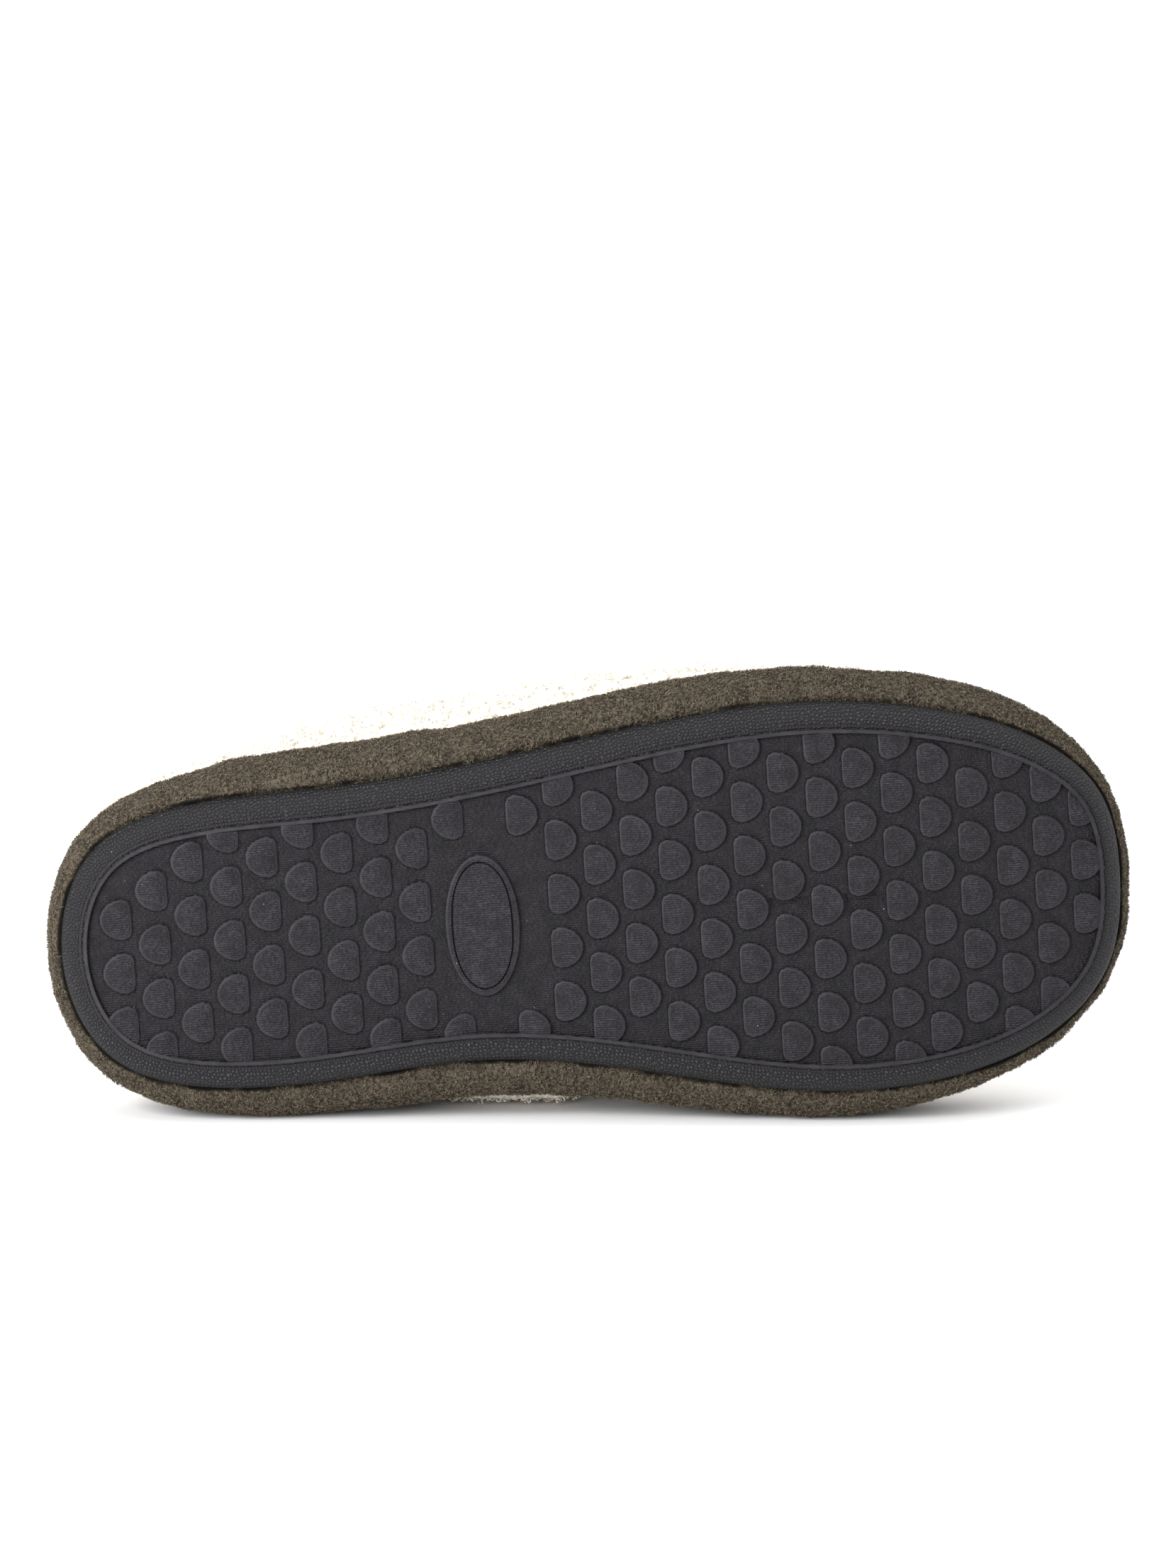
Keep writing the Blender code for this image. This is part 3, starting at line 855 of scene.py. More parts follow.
def sole_body():
    """Rubber sole without its lugs: a filled circle set on the top edge and extruded ring by ring."""
    loops = sole_rings()
    clear_selection()
    bpy.ops.mesh.primitive_circle_add(vertices=EDGE_STATIONS, radius=1.0, fill_type="NGON")
    piece = bpy.context.object
    piece.name = piece.data.name = "rubber_sole"
    bpy.ops.object.mode_set(mode="EDIT")
    mesh = bmesh.from_edit_mesh(piece.data)
    mesh.verts.ensure_lookup_table()
    loop = mesh.verts[:]
    place_loop(loop, loops[0][0])
    order = [vert.index for vert in loop]
    orders = [order]
    for points, tone, look in loops[1:]:
        bpy.ops.mesh.extrude_region_move()
        mesh = bmesh.from_edit_mesh(piece.data)
        mesh.verts.ensure_lookup_table()
        mesh.verts.index_update()
        loop = [mesh.verts[i] for i in order]
        loop = [next(e.other_vert(v) for e in v.link_edges if e.other_vert(v).select) for v in loop]
        place_loop(loop, points)
        for vert in loop:
            for face in vert.link_faces:
                face.material_index = look
        order = [vert.index for vert in loop]
        orders.append(order)
    bpy.ops.mesh.select_all(action="SELECT")
    bpy.ops.mesh.normals_make_consistent(inside=False)
    bpy.ops.object.mode_set(mode="OBJECT")
    bpy.ops.object.transform_apply(location=True, rotation=True, scale=True)
    orders = np.array(orders)
    tones = np.zeros(orders.size)
    tones[orders] = np.array([tone for _, tone, _ in loops])[:, None]
    set_tone(piece, tones)
    map_edge(piece, orders, np.stack([points for points, _, _ in loops]))
    return piece


def map_edge(piece, orders, points):
    """Lay a map along the sole's edge, in millimetres: U round the edge, V inwards over the border."""
    run = np.linalg.norm(np.roll(EDGE, -1, axis=0) - EDGE, axis=1)
    run = np.concatenate(([0.0], np.cumsum(run)))
    steps = np.linalg.norm(np.diff(points, axis=0), axis=2)
    inwards = np.concatenate((np.zeros((1, EDGE_STATIONS)), np.cumsum(steps, axis=0)))
    inwards -= inwards[BORDER_STEPS]
    station = np.zeros(orders.size, int)
    station[orders] = np.arange(EDGE_STATIONS)[None]
    depth = np.zeros(orders.size)
    depth[orders] = inwards
    layer = piece.data.uv_layers.new(name=EDGE_MAP)
    for face in piece.data.polygons:
        here = [station[i] for i in face.vertices]
        wraps = max(here) - min(here) > EDGE_STATIONS / 2
        for corner, vertex, place in zip(face.loop_indices, face.vertices, here):
            place = EDGE_STATIONS if wraps and place == 0 else place
            layer.data[corner].uv = (run[place], depth[vertex])


def inside(point, loop):
    """Whether a point lies inside a closed loop, both seen from above."""
    after = np.roll(loop, -1, axis=0)
    spans = (loop[:, 1] > point[1]) != (after[:, 1] > point[1])
    run = loop[spans]
    end = after[spans]
    cross = run[:, 0] + (point[1] - run[:, 1]) * (end[:, 0] - run[:, 0]) / (end[:, 1] - run[:, 1])
    return np.count_nonzero(cross > point[0]) % 2 == 1


def lug_places():
    """Middle of each lug and the way it faces, in staggered rows square to the shoe."""
    field = ring(LUG_SPILL - BORDER - RIM, 0.0)[:, :2]
    clear = np.array((PAD_LENGTH + LUG_DEPTH, PAD_WIDTH + LUG_WIDTH)) / 2 + PAD_CLEAR
    places = []
    for row in range(int(SOLE_LENGTH / LUG_ROW) + 1):
        along = row * LUG_ROW + LUG_ROW / 2
        facing = 1.0 if along > PAD_ALONG else -1.0
        for column in range(-LUG_COLUMNS, LUG_COLUMNS + 1):
            across = (column + row % 2 / 2) * LUG_PITCH
            off_pad = np.hypot((along - PAD_ALONG) / clear[0], across / clear[1])
            if off_pad > 1.0 and inside((along, across), field):
                places.append((along, across, facing))
    return places


def lug_outline(along, across, facing):
    """Corners of one half-round lug seen from above, and the height of its underside at any of its points."""
    half = LUG_WIDTH / 2
    neck = LUG_NECK * half
    length = LUG_SIDE + LUG_DEPTH
    turns = np.linspace(-np.pi / 2, np.pi / 2, LUG_ARC)
    bends = np.linspace(0.0, np.pi / 2, LUG_BENDS)
    back = LUG_CORNER * (1.0 - np.sin(bends))
    flank = neck - LUG_CORNER * (1.0 - np.cos(bends))
    ahead = np.concatenate((back[::-1], LUG_SIDE + LUG_DEPTH * np.cos(turns), back))
    aside = np.concatenate((-flank[::-1], half * np.sin(turns), flank))
    outline = np.column_stack((along + facing * (ahead - length / 2), across + aside))

    def under(points):
        return LUG_BACK_UP * (0.5 - facing * (points[:, 0] - along) / length)

    return (outline if facing > 0 else outline[::-1]), under


def cut(outline, point, outward):
    """The part of a closed outline that lies behind a line."""
    depth = (outline - point) @ outward
    kept = []
    for i in range(len(outline)):
        j = (i + 1) % len(outline)
        if depth[i] <= 0.0:
            kept.append(outline[i])
        if (depth[i] < 0.0) != (depth[j] < 0.0):
            share = depth[i] / (depth[i] - depth[j])
            kept.append(outline[i] + (outline[j] - outline[i]) * share)
    return np.array(kept)


def area(outline):
    """Area inside a closed outline."""
    after = np.roll(outline, -1, axis=0)
    return abs((outline[:, 0] * after[:, 1] - outline[:, 1] * after[:, 0]).sum()) / 2


def trimmed(outline):
    """An outline cut along the rim where it runs past it."""
    trim = ring(-BORDER - RIM / 2, 0.0)[:, :2]
    for _ in range(LUG_CUTS):
        gaps = np.linalg.norm(outline[:, None] - trim[None], axis=2)
        nearest = gaps.argmin(axis=1)
        past = np.einsum("ij,ij->i", outline - trim[nearest], OUTWARD[nearest])
        worst = past.argmax()
        if past[worst] > 0.0:
            outline = cut(outline, trim[nearest[worst]], OUTWARD[nearest[worst]])
    return outline


def offset(outline, distance):
    """A closed outline moved outwards from its middle, or inwards by no more than half way."""
    reach = outline - outline.mean(axis=0)
    length = np.linalg.norm(reach, axis=1)
    return outline + reach * np.maximum(distance / length, -LUG_INSET_MOST)[:, None]


def raised_block(outline, under, profile):
    """Points, tones and faces of one block of the tread: loops from its face to its foot, closed at both."""
    points = []
    tones = []
    for out, up, rooted, tone in profile:
        loop = offset(outline, out)
        height = GROUND_UP + up if rooted else under(loop) + up
        points.append(np.column_stack((loop, np.broadcast_to(height, len(loop)))))
        tones += [tone] * len(loop)
    count = len(outline)
    faces = [list(range(count))[::-1], list(range((len(profile) - 1) * count, len(profile) * count))]
    for level in range(len(profile) - 1):
        for i in range(count):
            j = (i + 1) % count
            lower = level * count
            faces.append([lower + i, lower + j, lower + count + j, lower + count + i])
    return np.concatenate(points), tones, faces


def tread_lugs():
    """Every lug and the pad as one piece, trimmed at the rim, with bevelled faces and feet darkened as painted
    shade.
    """
    lug = (
        (-LUG_ROUND, 0.0, False, CAP_TONE),
        (-LUG_ROUND * LUG_LIP_IN, LUG_ROUND * LUG_LIP_UP, False, RUBBED_TONE),
        (0.0, LUG_ROUND * LUG_WALL_UP, False, PLAIN_TONE),
        (0.0, -LUG_BEVEL, True, PAINTED_SHADE_TONE),
        (LUG_FOOT, LUG_SUNK, True, SHADED_GROUND_TONE),
    )
    groove = PAD_GROOVE_IN + PAD_GROOVE
    pad = (
        (-groove, 0.0, False, CAP_TONE),
        (-groove + PAD_GROOVE / 3, PAD_GROOVE_DEEP, False, PAINTED_SHADE_TONE),
        (-groove + PAD_GROOVE * 2 / 3, PAD_GROOVE_DEEP, False, PAINTED_SHADE_TONE),
        (-PAD_GROOVE_IN, 0.0, False, CAP_TONE),
    ) + lug
    turns = np.linspace(0.0, 2 * np.pi, PAD_SIDES, endpoint=False)
    oval = np.column_stack((PAD_ALONG + PAD_LENGTH / 2 * np.cos(turns), PAD_WIDTH / 2 * np.sin(turns)))
    blocks = [raised_block(oval, lambda loop: np.zeros(len(loop)), pad)]
    for place in lug_places():
        outline, under = lug_outline(*place)
        outline = trimmed(outline)
        if area(outline) > LUG_LEAST:
            blocks.append(raised_block(outline, under, lug))
    points = np.concatenate([block[0] for block in blocks])
    starts = np.cumsum([0] + [len(block[0]) for block in blocks])
    faces = [[start + i for i in face] for start, block in zip(starts, blocks) for face in block[2]]
    piece = mesh_piece("tread_lugs", in_row(lifted(points)), faces)
    set_tone(piece, np.concatenate([block[1] for block in blocks]))
    pick(piece)
    bpy.ops.object.mode_set(mode="EDIT")
    bpy.ops.mesh.select_all(action="SELECT")
    bpy.ops.mesh.normals_make_consistent(inside=False)
    bpy.ops.object.mode_set(mode="OBJECT")
    return piece


def merged_copy(node, name):
    """A copy of a solid with its loose triangles merged and paired."""
    piece = bpy.data.objects.new(name, frame["nodes"][node].data.copy())
    bpy.context.scene.collection.objects.link(piece)
    pick(piece)
    bpy.ops.object.mode_set(mode="EDIT")
    bpy.ops.mesh.select_all(action="SELECT")
    bpy.ops.mesh.remove_doubles(threshold=MERGE)
    bpy.ops.mesh.tris_convert_to_quads()
    bpy.ops.object.mode_set(mode="OBJECT")
    piece.data.normals_split_custom_set_from_vertices([(0.0, 0.0, 0.0)] * len(piece.data.vertices))
    bpy.ops.object.shade_smooth()
    return piece


def ruffle(piece, reliefs):
    """Push the surface in and out by textures, one after the other."""
    for row in reliefs:
        texture = bpy.data.textures.new(row.name, row.kind)
        texture.noise_scale = row.size
        apply_modifier(piece, row.name, "DISPLACE", texture=texture, texture_coords="LOCAL",
                       strength=row.height, mid_level=row.middle)


def fold(piece, folds):
    """Push a piece softly inwards and up along the path of each fold."""
    places = in_shoe(points_of(piece))
    middle = np.column_stack((np.clip(places[:, 0], *SPINE_ENDS), np.zeros(len(places))))
    inwards = unit(middle - places[:, :2])
    moved = places.copy()
    for row in folds:
        path = np.array(row.path, float)
        gap = np.full(len(places), np.inf)
        for start, end in zip(path[:-1], path[1:]):
            run = end - start
            share = np.clip((places - start) @ run / (run @ run), 0.0, 1.0)
            gap = np.minimum(gap, np.linalg.norm(places - start - share[:, None] * run, axis=1))
        depth = np.exp(-(gap / row.width) ** 2)[:, None]
        moved[:, :2] += depth * inwards * row.inwards
        moved[:, 2:] += depth * row.up
    move_points(piece, in_row(moved))


def sew_down(piece):
    """Draw the lower edge of the upper down onto the band, so that the seam stays closed."""
    places = in_shoe(points_of(piece))
    above = places[:, 2] - spring(places[:, 0])
    places[:, 2] -= SEAM_SINK * np.clip((SEAM_REACH - above) / (SEAM_REACH - SEAM_UP), 0.0, 1.0)
    move_points(piece, in_row(places))


def rest_on_floor(piece):
    """Flatten what the ruffles pushed below the floor."""
    places = points_of(piece)
    places[:, 2] = np.maximum(places[:, 2], FLOOR_CLEAR)
    move_points(piece, places)


def scatter(piece, count, seed, wanted):
    """Roots and outward directions of fibres, spread over a piece where they are wanted."""
    mesh = piece.data
    mesh.calc_loop_triangles()
    corners = np.zeros(len(mesh.loop_triangles) * 3, np.int64)
    mesh.loop_triangles.foreach_get("vertices", corners)
    corners = corners.reshape(-1, 3)
    normals = np.zeros(len(mesh.vertices) * 3)
    mesh.vertices.foreach_get("normal", normals)
    normals = normals.reshape(-1, 3)[corners]
    places = points_of(piece)[corners]
    area = np.linalg.norm(np.cross(places[:, 1] - places[:, 0], places[:, 2] - places[:, 0]), axis=1)
    weight = area * wanted(in_shoe(places.mean(axis=1)), normals.mean(axis=1) @ TO_ROW[:3, :3])
    rng = np.random.default_rng(seed)
    chosen = rng.choice(len(weight), count, p=weight / weight.sum())
    share = rng.dirichlet((1.0, 1.0, 1.0), count)[:, :, None]
    roots = (places[chosen] * share).sum(axis=1)
    ups = unit((normals[chosen] * share).sum(axis=1))
    return roots, ups, rng


def unit(vectors):
    """The same directions with length one."""
    return vectors / np.maximum(np.linalg.norm(vectors, axis=1), MERGE)[:, None]


def swirl(places, size, rng):
    """Smooth random directions that change over a size."""
    waves = rng.normal(size=(SWIRL_WAVES, 3)) * 2 * np.pi / size / np.sqrt(3.0)
    angles = places @ waves.T
    parts = [np.sin(angles + phase).sum(axis=1) for phase in rng.uniform(0.0, 2 * np.pi, (3, SWIRL_WAVES))]
    return np.column_stack(parts) * np.sqrt(2.0 / SWIRL_WAVES)


def pile_piece(name, centre, side, tones):
    """One mesh of pointed ribbons, each from its root to its tip, with a map that holds tone and height."""
    count, steps = centre.shape[:2]
    pairs = np.stack((centre - side, centre + side), axis=2).reshape(count, -1, 3)
    points = np.concatenate((pairs[:, :-2], centre[:, -1:]), axis=1)
    stride = points.shape[1]
    points = points.reshape(-1, 3)
    points[:, 2] = np.maximum(points[:, 2], FLOOR_CLEAR)
    start = np.arange(count)[:, None] * stride
    faces = [start + np.array((k, k + 1, k + 3, k + 2)) for k in range(0, stride - 3, 2)]
    tips = start + np.arange(stride - 3, stride)
    piece = mesh_piece(name, points, np.concatenate(faces).tolist() + tips.tolist())
    height = np.append(np.repeat(np.linspace(*MAP_ENDS, steps)[:-1], 2), MAP_ENDS[1])
    aside = np.append(np.tile(MAP_ASIDE, steps - 1), 0.0)
    tone = tones[:, None] * MAP_TONE + MAP_TONE_LOW + aside[None]
    places = np.stack((tone, np.broadcast_to(height, tone.shape)), axis=2).reshape(-1, 2)
    corners = np.zeros(len(piece.data.loops), np.int64)
    piece.data.loops.foreach_get("vertex_index", corners)
    layer = piece.data.uv_layers.new(name=PILE_MAP)
    layer.data.foreach_set("uv", places[corners].astype(np.float32).ravel())
    return piece


def nap(name, base, settings, wanted, seed):
    """Short strands of the fleece, drawn together into small locks and bent over."""
    locks, _, rng = scatter(base, settings.locks, LOCK_SEED, wanted)
    hooks = unit(swirl(locks, NAP_SWIRL, rng) + rng.normal(size=locks.shape) * NAP_STRAY)
    lock_tones = rng.random(len(locks))
    heights = settings.nap * rng.uniform(*NAP_HEIGHT, len(locks))
    tree = KDTree(len(locks))
    for index, lock in enumerate(locks):
        tree.insert(lock, index)
    tree.balance()
    roots, ups, rng = scatter(base, settings.fibres, seed, wanted)
    found = [tree.find(root) for root in roots]
    own = np.array([row[1] for row in found])
    edge = np.clip(np.array([row[2] for row in found]) / LOCK_RADIUS, 0.0, 1.0)
    count = len(roots)
    pull = (locks[own] - roots) * rng.uniform(*NAP_PULL, count)[:, None]
    height = (heights[own] * rng.uniform(*NAP_VARY, count) * (1.0 - NAP_SHORTER * edge ** 2))[:, None]
    hook = hooks[own] + rng.normal(size=roots.shape) * NAP_STRAY
    hook = unit(hook - ups * (hook * ups).sum(axis=1)[:, None])
    bend = roots + (ups + hook * NAP_BEND) * height + pull / 2
    tips = roots + (ups * NAP_DROOP + hook * NAP_REACH) * height + pull
    centre = np.stack((roots - ups * NAP_ROOT, bend, tips), axis=1)
    side = unit(np.cross(hook, ups + rng.normal(size=roots.shape) * NAP_TWIST)) * NAP_WIDTH / 2
    tones = lock_tones[own] * NAP_LOCK_TONE + rng.random(count) * NAP_OWN_TONE
    # Fibres darker towards the edges of their lock, as painted shade between the locks.
    tones += (1.0 - edge) * NAP_LOCK_EDGE_SHADE
    return pile_piece(name, centre, np.repeat(side[:, None], centre.shape[1], axis=1), tones)


def curls(name, base, count, curl, wanted, seed):
    """Curled ribbons of the sherpa, each a hook that winds up from its root."""
    roots, ups, rng = scatter(base, count, seed, wanted)
    lean = unit(ups + swirl(roots, CURL_SWIRL, rng) * CURL_LEAN)
    across = unit(np.cross(lean, rng.normal(size=roots.shape)))
    aside = np.cross(lean, across)
    start = rng.uniform(0.0, 2 * np.pi, count)
    wind = rng.uniform(*CURL_WIND, count) * rng.choice((-1.0, 1.0), count)
    radius = rng.uniform(*CURL_RADIUS, count)
    height = curl * rng.uniform(*CURL_VARY, count)
    centre = []
    for t in np.linspace(0.0, 1.0, CURL_STEPS):
        turn = start + wind * t
        out = radius * np.sin(np.pi * min(1.0, t * CURL_OPEN) / 2)
        swing = across * ((np.cos(turn) - np.cos(start)) * out)[:, None]
        swing += aside * ((np.sin(turn) - np.sin(start)) * out)[:, None]
        centre.append(roots + lean * (height * np.sin(t * CURL_HOOK) - CURL_ROOT)[:, None] + swing)
    centre = np.stack(centre, axis=1)
    run = np.gradient(centre, axis=1)
    side = np.cross(run, ups[:, None] + rng.normal(size=(count, 1, 3)) * CURL_TWIST)
    side /= np.maximum(np.linalg.norm(side, axis=2), NO_LENGTH)[:, :, None]
    width = CURL_WIDTH / 2 * np.linspace(1.0, CURL_TIP, CURL_STEPS)[None, :, None]
    return pile_piece(name, centre, side * width, rng.random(count))


def crease_gap(places):
    """Distance of points of the shoe from the crease between rubber and fleece, in millimetres."""
    crease = lifted(ring(0.0, CREASE_UP))
    after = np.roll(crease, -1, axis=0)
    tree = KDTree(EDGE_STATIONS * CREASE_PARTS)
    for part in range(CREASE_PARTS):
        for index, point in enumerate(crease + (after - crease) * part / CREASE_PARTS):
            tree.insert(point, part * EDGE_STATIONS + index)
    tree.balance()
    return np.array([tree.find(place)[2] for place in places])


def faces_in(places, ways):
    """Whether points of the shoe, with the ways that they face, look into it from where its lining starts."""
    middle = np.column_stack((np.clip(places[:, 0], *SPINE_ENDS), np.zeros(len(places))))
    outward = (unit(places[:, :2] - middle) * ways[:, :2]).sum(axis=1)
    above = places[:, 2] - spring(places[:, 0])
    return (outward < FACING_IN) & (above > LINING_UP)


def line_inside(piece):
    """Give the faces that look into the shoe the piece's second finish."""
    centres = np.zeros(len(piece.data.polygons) * 3)
    normals = np.zeros(len(piece.data.polygons) * 3)
    piece.data.polygons.foreach_get("center", centres)
    piece.data.polygons.foreach_get("normal", normals)
    lined = faces_in(in_shoe(centres.reshape(-1, 3)), normals.reshape(-1, 3) @ TO_ROW[:3, :3])
    piece.data.polygons.foreach_set("material_index", lined.astype(np.int32))


def everywhere(places, ways):
    """Pile all over a piece."""
    return np.ones(len(places))


def put_in_order(piece):
    """Sort a piece's vertices and faces by place, so that fibres fall on the same spots in every run."""
    places = points_of(piece)
    order = np.lexsort(np.round(places, ORDER_DIGITS).T)
    rank = np.argsort(order)
    faces = []
    for face in piece.data.polygons:
        corners = [int(rank[i]) for i in face.vertices]
        first = corners.index(min(corners))
        faces.append(corners[first:] + corners[:first])
    piece.data.clear_geometry()
    piece.data.from_pydata(places[order], [], sorted(faces))


def waist_roll():
    """Flat roll of pile that shows under the band where the waist stands clear of the floor."""
    clear_selection()
    bpy.ops.mesh.primitive_uv_sphere_add(segments=WAIST_SEGMENTS, ring_count=WAIST_RINGS, radius=1.0)
    piece = bpy.context.object
    piece.name = piece.data.name = "waist_pile"
    bpy.ops.transform.rotate(value=np.pi / 2, orient_axis="Y", center_override=(0.0, 0.0, 0.0))
    bpy.ops.transform.resize(value=WAIST_SIZE, center_override=(0.0, 0.0, 0.0))
    bpy.ops.transform.translate(value=WAIST_MIDDLE)
    bpy.ops.object.transform_apply(location=True, rotation=True, scale=True)
    put_in_order(piece)
    bpy.ops.object.shade_smooth()
    ruffle(piece, WAIST_RELIEFS)
    rest_on_floor(piece)
    return piece


class SLIPPER_OT_rubber_sole(bpy.types.Operator):
    """Model the rubber sole and the lugs of its tread"""

    bl_idname = "slipper.rubber_sole"
    bl_label = "Rubber Sole"

    def execute(self, context):
        settings = context.scene.slipper_sole
        finishes = [None, None]
        finishes[TREAD_LOOK] = tread_finish(settings)
        finishes[BORDER_LOOK] = border_finish(settings)
        for make, looks, node in ((sole_body, finishes, "outsole"), (tread_lugs, finishes[:1], None)):
            piece = make()
            pick(piece)
            bpy.ops.object.shade_smooth_by_angle(angle=SHARP_ANGLE)
            finish_piece(piece, looks, node)
        return {"FINISHED"}


class SLIPPER_OT_fleece_band(bpy.types.Operator):
    """Round the padded band and grow its short nap"""

    bl_idname = "slipper.fleece_band"
    bl_label = "Fleece Band"

    def execute(self, context):
        settings = context.scene.slipper_fleece
        band = merged_copy("side_band", "fleece_band")
        apply_modifier(band, "round", "SUBSURF", levels=ROUND_LEVELS, render_levels=ROUND_LEVELS)
        fold(band, BAND_FOLDS)
        ruffle(band, BAND_RELIEFS)
        rest_on_floor(band)
        # The fleece goes black towards its crease with the rubber, as painted shade.
        low, high = CREASE_DARK
        gap = crease_gap(in_shoe(points_of(band)))
        set_tone(band, np.clip((gap - low) / (high - low), 0.0, 1.0) * PLAIN_TONE)
        lining = sherpa_finish(context.scene.slipper_sherpa, "cream_lining_cloth", UPPER_HOLLOW_SHADE)
        finish_piece(band, [fleece_finish(settings), lining], "side_band")
        line_inside(band)
        fibre = pile_finish("olive_fleece_nap", settings.colour, FLEECE_FIBRE)

        def outside(places, ways):
            return ((crease_gap(places) > NAP_CLEAR) & ~faces_in(places, ways)).astype(float)

        for index in range(PILE_PIECES):
            piece = nap(f"fleece_nap_{index + 1}", band, settings, outside, NAP_SEED + index)
            finish_piece(piece, [fibre])
        return {"FINISHED"}


class SLIPPER_OT_sherpa_upper(bpy.types.Operator):
    """Round the hollow upper and grow its curly pile"""

    bl_idname = "slipper.sherpa_upper"
    bl_label = "Sherpa Upper"

    def execute(self, context):
        settings = context.scene.slipper_sherpa
        upper = merged_copy("upper", "sherpa_upper")
        apply_modifier(upper, "round", "SUBSURF", levels=ROUND_LEVELS, render_levels=ROUND_LEVELS)
        fold(upper, UPPER_FOLDS)
        sew_down(upper)
        ruffle(upper, UPPER_RELIEFS)
        rest_on_floor(upper)
        cloth = sherpa_finish(settings, "cream_sherpa_cloth", UPPER_HOLLOW_SHADE)
        finish_piece(upper, [cloth], "upper")
        fibre = pile_finish("cream_sherpa_curls", settings.colour, SHERPA_FIBRE)
        for index in range(PILE_PIECES):
            seed = CURL_SEED + index
            piece = curls(f"sherpa_curls_{index + 1}", upper, settings.curls, settings.curl, everywhere, seed)
            finish_piece(piece, [fibre])
        roll = waist_roll()
        # The waist curls are tinted pinkish brown, as painted shade under the band.
        shade_tinted = pile_finish("shaded_waist_curls", tinted(settings.colour, WAIST_SHADE_TINT), WAIST_FIBRE)
        finish_piece(roll, [cloth])
        piece = curls("waist_curls", roll, WAIST_CURLS, WAIST_CURL, everywhere, WAIST_SEED)
        finish_piece(piece, [shade_tinted])
        return {"FINISHED"}


class SLIPPER_OT_footbed(bpy.types.Operator):
    """Model the soft footbed inside the shoe"""

    bl_idname = "slipper.footbed"
    bl_label = "Footbed"

    def execute(self, context):
        settings = context.scene.slipper_sherpa
        footbed = merged_copy("insole", "pile_footbed")
        apply_modifier(footbed, "even", "REMESH", mode="VOXEL", voxel_size=FOOTBED_VOXEL)
        apply_modifier(footbed, "soften", "SMOOTH", iterations=FOOTBED_SOFTEN)
        edge = lifted(ring(-FOOTBED_IN, FOOTBED_UP))[::FOOTBED_STRIDE]
        path = np.concatenate((edge, edge[:1]))
        fold(footbed, [Fold("spread to the lining", path, FOOTBED_WIDTH, -FOOTBED_SPREAD, 0.0)])
        ruffle(footbed, FOOTBED_RELIEFS)
        pick(footbed)
        bpy.ops.object.shade_smooth()
        cloth = sherpa_finish(settings, "cream_footbed_cloth", FOOTBED_HOLLOW_SHADE)
        finish_piece(footbed, [cloth], "insole")
        band = bpy.data.objects["fleece_band"]
        fibre = bpy.data.materials["cream_sherpa_curls"]

        def upwards(places, ways):
            return (ways[:, 2] > FOOTBED_FACING).astype(float)

        for name, base, wanted in (("footbed_curls", footbed, upwards), ("lining_curls", band, faces_in)):
            piece = curls(name, base, settings.lining, settings.curl, wanted, LINING_SEED)
            finish_piece(piece, [fibre])
        return {"FINISHED"}


def studio_sky(settings):
    """White surroundings, with a strength of their own in front of the sole."""
    world = bpy.data.worlds.new("studio_sky")
    world.use_nodes = True
    tree = world.node_tree
    way = tree.nodes.new("ShaderNodeSeparateXYZ")
    front = tree.nodes.new("ShaderNodeMapRange")
    limits = (*SKY_TURN, settings.front, settings.sky)
    for key, value in zip(("From Min", "From Max", "To Min", "To Max"), limits):
        front.inputs[key].default_value = value
    tree.links.new(tree.nodes.new("ShaderNodeTexCoord").outputs["Generated"], way.inputs["Vector"])
    tree.links.new(way.outputs["Y"], front.inputs["Value"])
    tree.links.new(front.outputs["Result"], tree.nodes["Background"].inputs["Strength"])
    tree.nodes["Background"].inputs["Color"].default_value = (1.0, 1.0, 1.0, 1.0)
    return world


def add_light(kind, name, place, energy):
    """A light at a place from the shoe's middle, turned towards it."""
    bpy.ops.object.light_add(type=kind, location=(CAD_LOW + CAD_HIGH) / 2 + place)
    light = bpy.context.object
    light.name = light.data.name = name
    light.data.energy = energy
    light.rotation_euler = (-place).to_track_quat("-Z", "Y").to_euler()
    return light


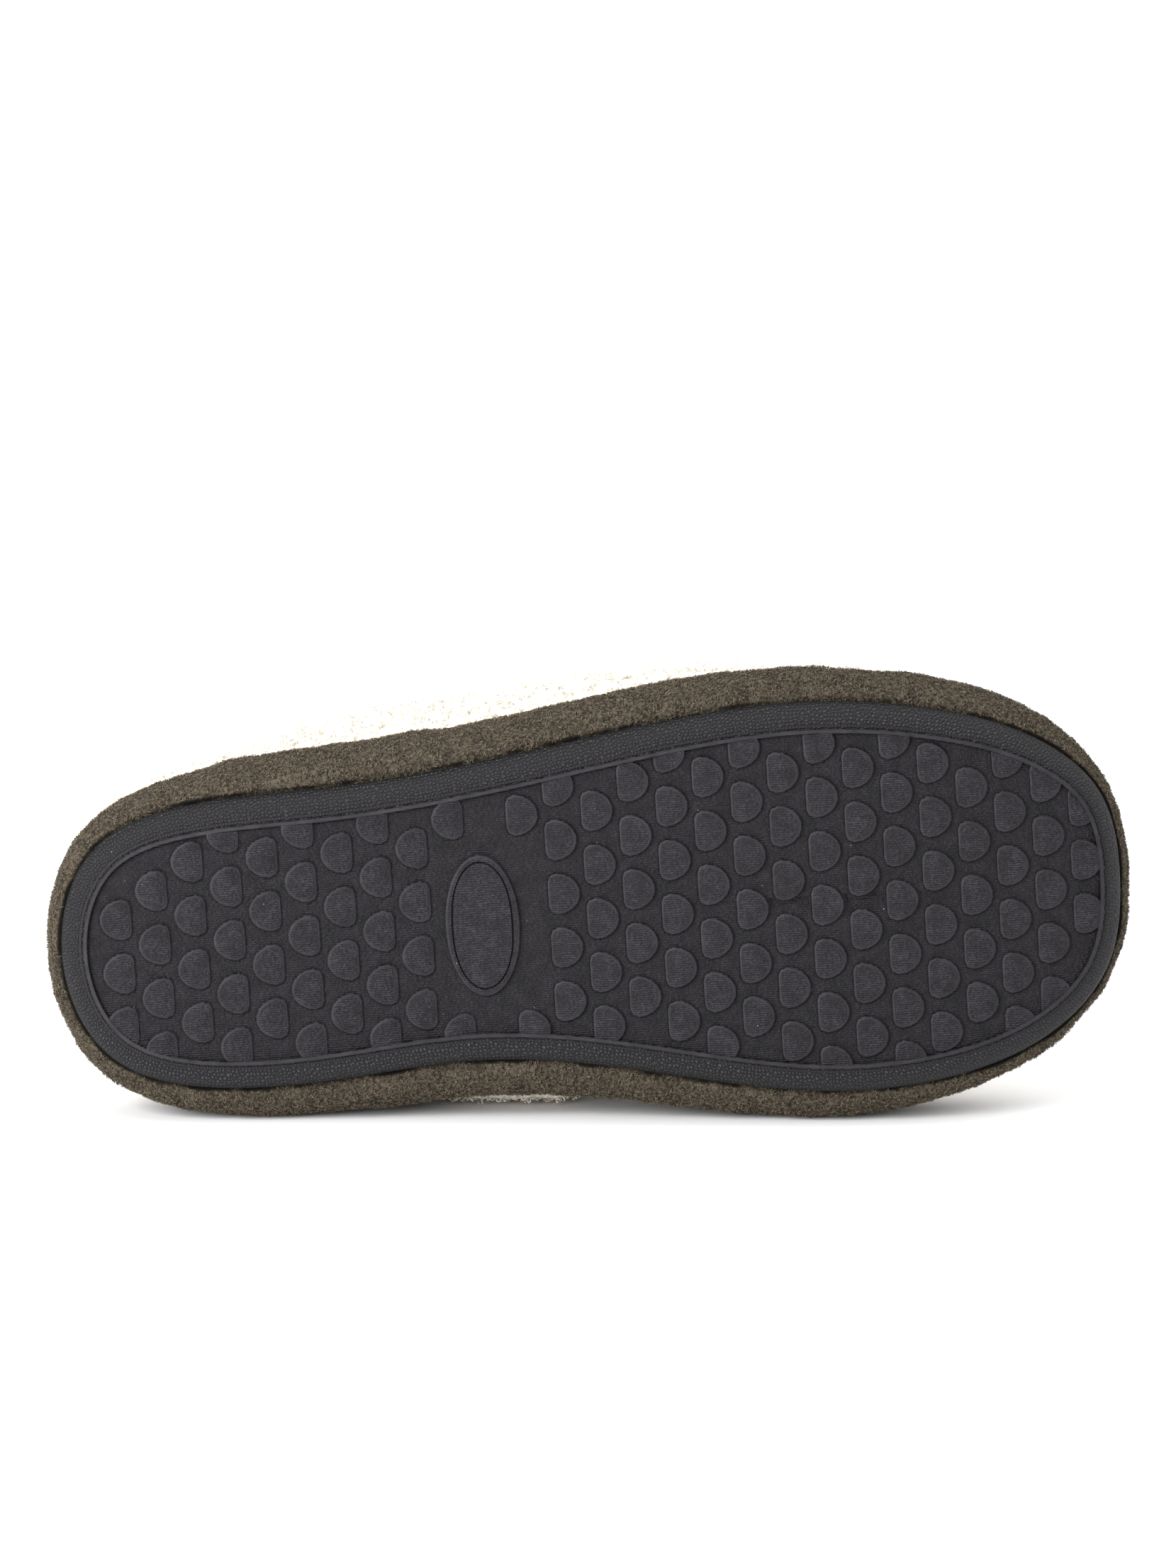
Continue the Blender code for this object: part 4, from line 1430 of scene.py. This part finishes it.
class SLIPPER_OT_stage(bpy.types.Operator):
    """Set out the white floor, the lights and the camera"""

    bl_idname = "slipper.stage"
    bl_label = "Stage"

    def execute(self, context):
        settings = context.scene.slipper_stage
        clear_selection()
        bpy.ops.mesh.primitive_circle_add(vertices=FLOOR_SIDES, radius=FLOOR_RADIUS, fill_type="NGON")
        floor = context.object
        floor.name = floor.data.name = "white_floor"
        paper = Finish("white_paper", PAPER_ROUGH, Specular_IOR_Level=PAPER_GLOSS)
        floor.data.materials.append(paper.wear(Base_Color=PAPER_COLOUR))
        context.scene.world = studio_sky(settings)
        lamp = add_light("AREA", "key_light", KEY_PLACE, settings.key)
        lamp.data.size = KEY_SIZE
        lamp.visible_camera = False
        sun = add_light("SUN", "back_light", BACK_PLACE, settings.back)
        sun.data.angle = BACK_SPREAD
        tilt = settings.elevation
        back = Vector((0.0, -np.cos(tilt), np.sin(tilt)))
        rise = Vector((0.0, np.sin(tilt), np.cos(tilt)))
        middle = (CAD_LOW + CAD_HIGH) / 2
        target = Vector((middle.x, CAD_LOW.y, middle.z)) + rise * settings.aim_up
        bpy.ops.object.camera_add(location=target + back * settings.distance)
        camera = context.object
        camera.rotation_euler = (-back).to_track_quat("-Z", "Y").to_euler()
        camera.data.sensor_width = SENSOR
        camera.data.lens = SENSOR * settings.distance / settings.frame_height
        context.scene.camera = camera
        context.scene.view_settings.view_transform = "Standard"
        return {"FINISHED"}


class SLIPPER_PT_panel(bpy.types.Panel):
    """Buttons for the slipper's pieces and their settings"""

    bl_idname = "SLIPPER_PT_panel"
    bl_label = "Plush House Slipper"
    bl_space_type = "VIEW_3D"
    bl_region_type = "UI"
    bl_category = "Slipper"

    def draw(self, context):
        for name, _, operators in GROUPS:
            box = self.layout.box()
            settings = getattr(context.scene, name)
            for key in settings.__annotations__:
                box.prop(settings, key)
            for operator in operators:
                box.operator(operator.bl_idname)


GROUPS = (
    ("slipper_stage", StageSettings, (SLIPPER_OT_stage,)),
    ("slipper_sole", SoleSettings, (SLIPPER_OT_rubber_sole,)),
    ("slipper_fleece", FleeceSettings, (SLIPPER_OT_fleece_band,)),
    ("slipper_sherpa", SherpaSettings, (SLIPPER_OT_sherpa_upper, SLIPPER_OT_footbed)),
)


def register():
    """Register every class, and keep each group of settings on the scene."""
    for name, settings, operators in GROUPS:
        bpy.utils.register_class(settings)
        setattr(bpy.types.Scene, name, PointerProperty(type=settings))
        for operator in operators:
            bpy.utils.register_class(operator)
    bpy.utils.register_class(SLIPPER_PT_panel)


def unregister():
    """Take it all back, the last first."""
    bpy.utils.unregister_class(SLIPPER_PT_panel)
    for name, settings, operators in reversed(GROUPS):
        for operator in reversed(operators):
            bpy.utils.unregister_class(operator)
        delattr(bpy.types.Scene, name)
        bpy.utils.unregister_class(settings)


def main():
    """Make every piece in order."""
    register()
    bpy.ops.slipper.stage()
    bpy.ops.slipper.rubber_sole()
    bpy.ops.slipper.fleece_band()
    bpy.ops.slipper.sherpa_upper()
    bpy.ops.slipper.footbed()


if __name__ == "__main__":
    main()
